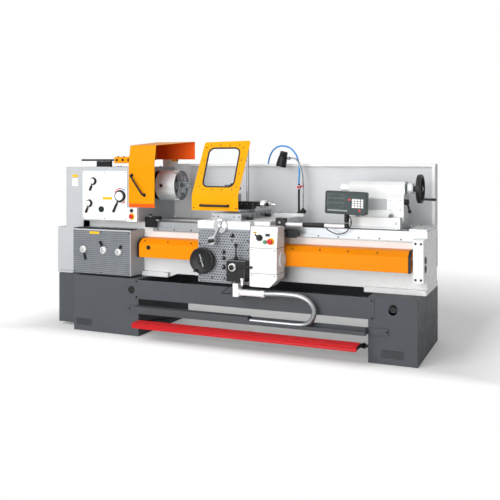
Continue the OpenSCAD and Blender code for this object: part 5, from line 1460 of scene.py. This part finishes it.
def makeStand(s):
    bm = bmesh.new()
    x, y, z0, z1, r = s["pipe"]
    h = z1 - z0
    addTurn(bm, (x, y, z0), upward, [(0, r + 8), (10, r + 8), (12, r + 0.4), (h - 30, r + 0.4),
                                     (h - 28, r + 3), (h - 12, r + 3), (h - 8, r + 0.4), (h - 1, r + 0.4)],
            0, 28)
    addTurn(bm, (x, y + 16, s["valveZ"]), toFront, [(0, 13), (2, 15.4), (30, 15.4), (31.8, 13)], 0, 32)
    x, y, z0, r = s["base"]
    addTurn(bm, (x, y, z0), upward, [(0, r + 3), (22, r + 2.5), (28, r - 2), (31, 11), (40, 9)], 0, 36)
    route = evenRoute(s["neck"], 5)
    addTube(bm, route, [s["neckR"] + (0.6 if i % 2 else -0.5) for i in range(len(route))], 1, 14)
    addScrews(bm, s["screws"], upward, 7, 2)
    makePiece("standParts", "carriage", bm, ["black", "darkSteel", "zinc"], sharp=60)
    bm = bmesh.new()
    x, y, z, r = s["valveHub"]
    addTurn(bm, (x, y, z), toFront, [(-8, 5), (0, 5), (0.4, r), (10, r), (12, r - 2.5)], 0, 28)
    tip = Vector(s["valveTip"])
    root = Vector((x, tip.y, z))
    side = (tip - root).normalized()
    addTurn(bm, root, side, [(4, 4.6), (20, 4.2), (34, 5.4), ((tip - root).length, 3)], 0, 20)
    makePiece("valveLever", "valve_handle", bm, "redPlastic", "valve_handle", sharp=50)
    bm = bmesh.new()
    t = math.radians(s["tilt"])
    axis = Vector((math.sin(t), 0, math.cos(t)))
    at, h = Vector(s["shade"]), s["shadeHigh"] / 2
    low, top = s["shadeLow"], s["shadeTop"]
    line = [(-h + 50, 24), (-h + 44, 30), (-h + 2, low - 4), (-h, low - 2), (-h + 0.5, low),
            (-h + 8, low - 0.6), (0, (low + top) / 2 + 0.5)]
    for k in range(s["ribs"]):  # cooling ribs
        line.append((h - 44 + k * 5, top + 3 - k * 0.3 - (2.2 if k % 2 else 0)))
    addTurn(bm, at, axis, line + [(h - 4, top - 1), (h, top - 5), (h, 6)], 0, 48)
    addTurn(bm, at, axis, [(-h + 30, 26), (-h + 26, 28), (-h + 20, 24), (-h + 18, 6)], 1, 36)
    px, py, pz = s["pivot"]
    addTurn(bm, (px, py - 14, pz), toRear, [(0, 10), (2, 12), (26, 12), (28, 10)], 0, 32)
    addTurn(bm, (px, py, pz), (-1, 0, -0.1), [(0, 7), (32, 7)], 0, 24)
    addScrew(bm, (px, py - 14, pz), toFront, 7, 2)
    makePiece("lampShade", "lamp_head", bm, ["black", "whitePlastic", "zinc"], "lamp_head",
              sharp=45)


makeStand(stand)
print("stand done")


# tailstock: side plate, clamp bolts, scale on the quill, lever

tail = {"front": -104, "plate": (1112, 1208, 1000, 1092), "recess": (958, 1102, 1010, 1090),
        "baseFront": -168, "axis": 1159, "quillX": 786, "quillR": 30, "nose": (741, 1000), "lines": 14,
        "leverAt": (1220, -62, 1066), "leverTip": (1264, -114, 1004), "capX": 1220, "capR": 40,
        "baseX": (827, 1208), "baseZ": (874, 960), "baseScrewZ": 920, "clampX": (900, 1135), "clampY": 136}


def makeTailTrim(s):
    bm = bmesh.new()
    for key, m in (("plate", 0), ("recess", 1)):
        x0, x1, z0, z1 = s[key]
        addPanel(bm, x0, x1, z0, z1, 8, s["front"], 1.6, m)
    x0, x1 = s["baseX"]
    y, z = s["baseFront"], s["baseZ"][0] + 16
    addBox(bm, x0 + 6, x1 - 6, y - 0.4, y + 1, z, z + 3, 1)
    makePiece("tailPlates", "tailstock", bm, ["plate", "lightGrey"], bevel=0.6)
    bm = bmesh.new()
    addScrews(bm, [(x, s["front"] - 1.6, z) for x, z in corners(*s["plate"], 12)], toFront, 6)
    top = s["baseZ"][1]
    for x in s["clampX"]:  # clamp nuts on the base
        for y in (-s["clampY"], s["clampY"]):
            addTurn(bm, (x, y, top), upward, [(-1, 18), (3, 18), (3, 15), (16, 15), (18, 13)], 0, 6)
            addTurn(bm, (x, y, top + 17), upward, [(0, 8), (8, 8), (10, 6)], 0, 20)
    for x in (s["baseX"][0] + 30, s["baseX"][1] - 30):
        addScrew(bm, (x, s["baseFront"], s["baseScrewZ"]), toFront, 9)
        addScrew(bm, (x, -s["baseFront"], s["baseScrewZ"]), toRear, 9)
    for k in range(4):
        a = math.radians(45 + 90 * k)
        addScrew(bm, (s["capX"], s["capR"] * math.cos(a), s["axis"] + s["capR"] * math.sin(a)), toRight, 5)
    makePiece("tailScrews", "tailstock", bm, "zinc", sharp=30)
    bm = bmesh.new()
    x, y, z = s["leverAt"]
    line = [(-20, 8), (0.4, 8), (0.4, 19), (3, 20), (24, 20), (29, 16), (30, 8)]
    addTurn(bm, (x, y, z), toRight, line, 0, 36)
    tip = Vector(s["leverTip"])
    root = Vector((x + 15, y, z))
    way = (tip - root).normalized()
    addTurn(bm, root, way, [(8, 7.4), ((tip - root).length - 8, 6)], 0, 24)
    addBall(bm, tip, 13, 1, 28)
    makePiece("clampLever", "tailstock_lever", bm, ["black", "blackPlastic"],
              "tailstock_lever", sharp=50)
    bm = bmesh.new()
    (n0, n1), r, axis = s["nose"], s["quillR"], s["axis"]
    line = [(40, 11), (3, 15), (0, 17), (0, r - 3), (2, r - 0.1), (n1 - n0, r - 0.1)]
    addTurn(bm, (n0, 0, axis), toRight, line, 0, 56)
    makePiece("quillBar", "tailstock_quill", bm, "turned", "tailstock_quill", sharp=30)
    bm = bmesh.new()
    r += 0.05
    for k in range(s["lines"]):  # scale on the quill
        x = s["quillX"] + 2 + k * 2
        a0, a1 = math.radians(200), math.radians(230 if k % 5 else 245)
        turns = [a0 + (a1 - a0) * i / 6 for i in range(7)]
        addTube(bm, [(x, r * math.cos(a), axis - r * math.sin(a)) for a in turns], 0.35, 0, 4)
    makePiece("quillScale", "tailstock_quill", bm, "black")


makeTailTrim(tail)
print("tailstock done")


# covers and guards: borders, screws, hinges, vents

covers = {"leadX": (-817, 1314), "leadFront": -338, "leadZ": (606, 712), "bend": (-292, 748),
          "lap": (-206, 751), "screwStep": 205, "ends": [(-819, -801), (1296, 1316)], "plug": (-716, 684, 17),
          "splash": (-737, 1374, 560, 1335), "rim": (373, 292, 20), "turnIn": ((-822.4, 270), (-734, 395)),
          "bracketX": (-665, 1081), "bracketIn": (20, 60), "bracketZ": (410, 590), "bracketBack": 409,
          "stop": (-808, -714, -241, -135, 832, 914), "stopOver": (-201, 886),
          "stopKnob": (-767, -220, 913, 12), "stopScrew": (-739, -241, 872), "stopPin": (-716, -222, 888)}


def makeCoverTrim(s):
    bm = bmesh.new()
    f, (z0, z1) = s["leadFront"], s["leadZ"]
    by, bz = s["bend"]
    way = Vector((0, by - f, bz - z1)).normalized()
    out = Vector((0, -way.z, way.y))
    x0, x1 = s["leadX"]
    for x in range(x0 + 56, x1 - 40, s["screwStep"]):
        addScrew(bm, Vector((x, (f + by) / 2, (z1 + bz) / 2)) + out * 0.2, out, 6, 0)
    px, pz, r = s["plug"]
    addTurn(bm, (px, f, pz), toFront, [(-1, r), (5, r), (8, r - 3), (8, 4)], 0, 32)
    ly, lz = s["lap"]
    line = [(f - 1.2, z0 - 1), (f - 1.2, z1 + 0.5), (by - 0.8, bz + 1.4), (ly, lz + 2.4), (ly, lz),
            (by, bz - 1), (f + 0.4, z1), (f + 0.4, z0 - 1)]
    for x0, x1 in s["ends"]:  # black end pieces clipped over the cover
        addPlate(bm, line[::-1], (x0, 0, 0), toRear, upward, x1 - x0, 0)
    makePiece("coverTrim", "frame", bm, "black", bevel=0.4)
    bm = bmesh.new()
    x0, x1, z0, z1 = s["splash"]
    topY, endY, rim = s["rim"]
    addBox(bm, x0 + 1, x1 - 1, topY - 2, topY, z1 - rim, z1 - 0.5, 0)  # folded top and end rims
    addBox(bm, x1 - rim - 4, x1 - 0.5, endY - 2, endY, z0 + 1, z1 - 0.5, 0)
    (ax, ay), (bx, by) = s["turnIn"]  # white sheet over the pale panel turned in towards the headstock: painted light that lifts it out of the guard's shadow
    way = Vector((bx - ax, by - ay, 0))
    line = [(0, z0 + 4), (way.length, z0 + 4), (way.length, z1 - 4), (0, z1 - 4)]
    addPlate(bm, line, (ax, ay, 0), way.normalized(), upward, 0.6, 1)
    addBox(bm, ax - 14, ax + 1, ay + 0.6, ay + 3, z0 + 330, z1 - 4, 1)  # closes the gap to the headstock
    makePiece("splashRims", "frame", bm, ["plate", "white"], bevel=0.3)
    bm = bmesh.new()
    for x in s["bracketX"]:
        spots = [(x + dx, s["bracketBack"], z) for dx in s["bracketIn"] for z in s["bracketZ"]]
        addScrews(bm, spots, toRear, 8)
    makePiece("splashScrews", "frame", bm, "zinc")
    bm = bmesh.new()
    x0, x1, y0, y1, z0, z1 = s["stop"]
    overY, overZ = s["stopOver"]
    addBox(bm, x0, x1, y0, overY, z0, z1, 0)
    addBox(bm, x0, x1, overY, y1, overZ, z1, 0)
    x, y, z, r = s["stopKnob"]
    addTurn(bm, (x, y, z), upward, [(0, r * 0.6), (6, r * 0.6), (7, r), (26, r), (30, r - 3)], 1, 24)
    addScrew(bm, s["stopScrew"], toFront, 10, 1)
    addTurn(bm, s["stopPin"], toRight, [(0, 9), (14, 9), (14, 6), (26, 6), (27, 4)], 2, 24)
    makePiece("carriageStop", "frame", bm, ["black", "blackPlastic", "steel"], bevel=2)


endCovers = {"gear": (-1625, -1386, -290, 300, 432, 812), "belt": (-1540, 1309), "beltBack": 236,
             "motor": (-1613, -1375, -290, 300, 24, 428), "louvres": 9, "louvreStep": 26, "seam": 0.4,
             "headX": (-1366, -830), "headBack": 270, "headTop": 1309, "bedBack": 200,
             "rearZ": 1100, "rearHigh": 300, "rearScrewsX": (-210, -70, 70, 210), "rearScrewsZ": (965, 1235),
             "roofDeep": 380, "roofScrewsX": (-200, 0, 200), "roofScrewsY": (-170, 170)}


def makeEndCovers(s):
    bm = bmesh.new()
    x0, x1, y0, y1, z0, z1 = s["gear"]
    addBox(bm, x0 + 16, x1 - 2, y0 - s["seam"], y0 + 1, z0 + 20, z0 + 22.5, 0)
    for z in (z0 + 90, z1 - 90):  # hinges of the gear cover at the rear
        addTurn(bm, (x0 - 1, y1 - 14, z - 30), upward, [(0, 6), (1, 7), (59, 7), (60, 6)], 1, 20)
    addScrews(bm, [(x0, y, z) for y, z in corners(y0, y1, z0, z1, 40)], toLeft, 8, 1)
    latch = [(-1, 20), (3, 20), (4, 16), (4, 12), (14, 12), (16, 9)]
    addTurn(bm, (x0, y0 + 70, (z0 + z1) / 2), toLeft, latch, 2, 28)
    x, z = s["belt"]
    addScrews(bm, [(x, py, pz) for py in (y0 + 36, s["beltBack"]) for pz in (z1 + 60, z - 50)], toLeft, 8, 1)
    mx0, mx1, my0, my1, mz0, mz1 = s["motor"]
    for k in range(s["louvres"]):  # louvres of the motor cover, in dark grey: painted shade in the slots
        z, a, b = mz0 + 90 + k * s["louvreStep"], my0 + 110, my1 - 110
        addPlate(bm, [(a, z), (b, z), (b, z + 5), (a, z + 5)], (mx0 - 2.2, 0, 0), toRear, upward, 2.6, 0)
        addBox(bm, mx0 + 60, mx1 - 40, my1 - 0.5, my1 + 2, z, z + 5, 0)
    addScrews(bm, [(mx0, y, z) for y, z in corners(my0, my1, mz0, mz1, 30)], toLeft, 8, 1)
    makePiece("endCoverTrim", "frame", bm, ["cabinetDark", "zinc", "blackPlastic"], sharp=45)
    bm = bmesh.new()
    hx0, hx1 = s["headX"]
    x, y, t = (hx0 + hx1) / 2, s["headBack"], 3
    addPlate(bm, roundOutline(hx1 - hx0 - 60, s["rearHigh"], 12), (x, y, s["rearZ"]), toLeft, upward, t, 0)
    back = s["bedBack"]  # inner return of the gear cover, and its lap on the bed
    addBox(bm, x1 - 4, x1 - 1, back + 1, y1 - 4, z0 + 4, z1 - 4, 0)
    addBox(bm, x1 - 2, x1 + 24, back + 0.5, back + 3, z0 + 51, z1 - 4, 0)
    addScrews(bm, [(x + dx, y + t, z) for dx in s["rearScrewsX"] for z in s["rearScrewsZ"]], toRear, 8, 1)
    x, z = x - 10, s["headTop"]
    addPlate(bm, roundOutline(hx1 - hx0 - 90, s["roofDeep"], 16), (x, 0, z), toRight, toRear, t, 0)
    addScrews(bm, [(x + dx, y, z + t) for dx in s["roofScrewsX"] for y in s["roofScrewsY"]], upward, 8, 1)
    makePiece("headCovers", "frame", bm, ["lightGrey", "black"], bevel=1)


makeCoverTrim(covers)
makeEndCovers(endCovers)
print("covers done")


# small fittings: dial block beside the saddle, clamp blocks, end plate on the ways, rod rest

fittings = {"dial": (420, 496, -322, -286, 808, 870), "dialArm": (388, 424, -318, -284, 846, 866),
            "dialFace": (458, 839, 24), "clamps": [(84, 122, -262, -216), (84, 122, 96, 142)],
            "clampZ": (918, 942), "endPlate": (1276, 1398, -194, 194, 874, 889),
            "rest": (-1251, -1119, -272, -238, 1310, 1358.4)}


def makeFittings(s):
    bm = bmesh.new()
    addBox(bm, *s["dial"], 0)
    addBox(bm, *s["dialArm"], 0)
    for x0, x1, y0, y1 in s["clamps"]:
        addBox(bm, x0, x1, y0, y1, *s["clampZ"], 0)
        addScrew(bm, ((x0 + x1) / 2, (y0 + y1) / 2, s["clampZ"][1]), upward, 10, 1)
    x, z, r = s["dialFace"]
    y = s["dial"][2]
    addTurn(bm, (x, y, z), toFront, [(-1, r), (2, r), (4, r - 2), (4, r - 5), (2.4, r - 6), (2.4, 3)], 0, 40)
    for k in range(12):  # thread chasing marks
        a = math.radians(30 * k)
        way = Vector((math.sin(a), 0, math.cos(a)))
        addTube(bm, [Vector((x, y - 2.6, z)) + way * out for out in (r - 12, r - 7)], 0.7, 1, 4)
    makePiece("saddleFittings", "carriage", bm, ["black", "zinc"], bevel=1.5)
    bm = bmesh.new()
    x0, x1, y0, y1, _, z1 = s["endPlate"]
    addBox(bm, *s["endPlate"], 0)
    addScrews(bm, [(x, y, z1) for x in (x0 + 20, x1 - 20) for y in (y0 + 24, y1 - 24)], upward, 8, 1)
    makePiece("bedEndPlate", "frame", bm, ["white", "zinc"], bevel=2)
    makeBlock("rodRest", "frame", s["rest"], "black", 3)


makeFittings(fittings)
print("fittings done")
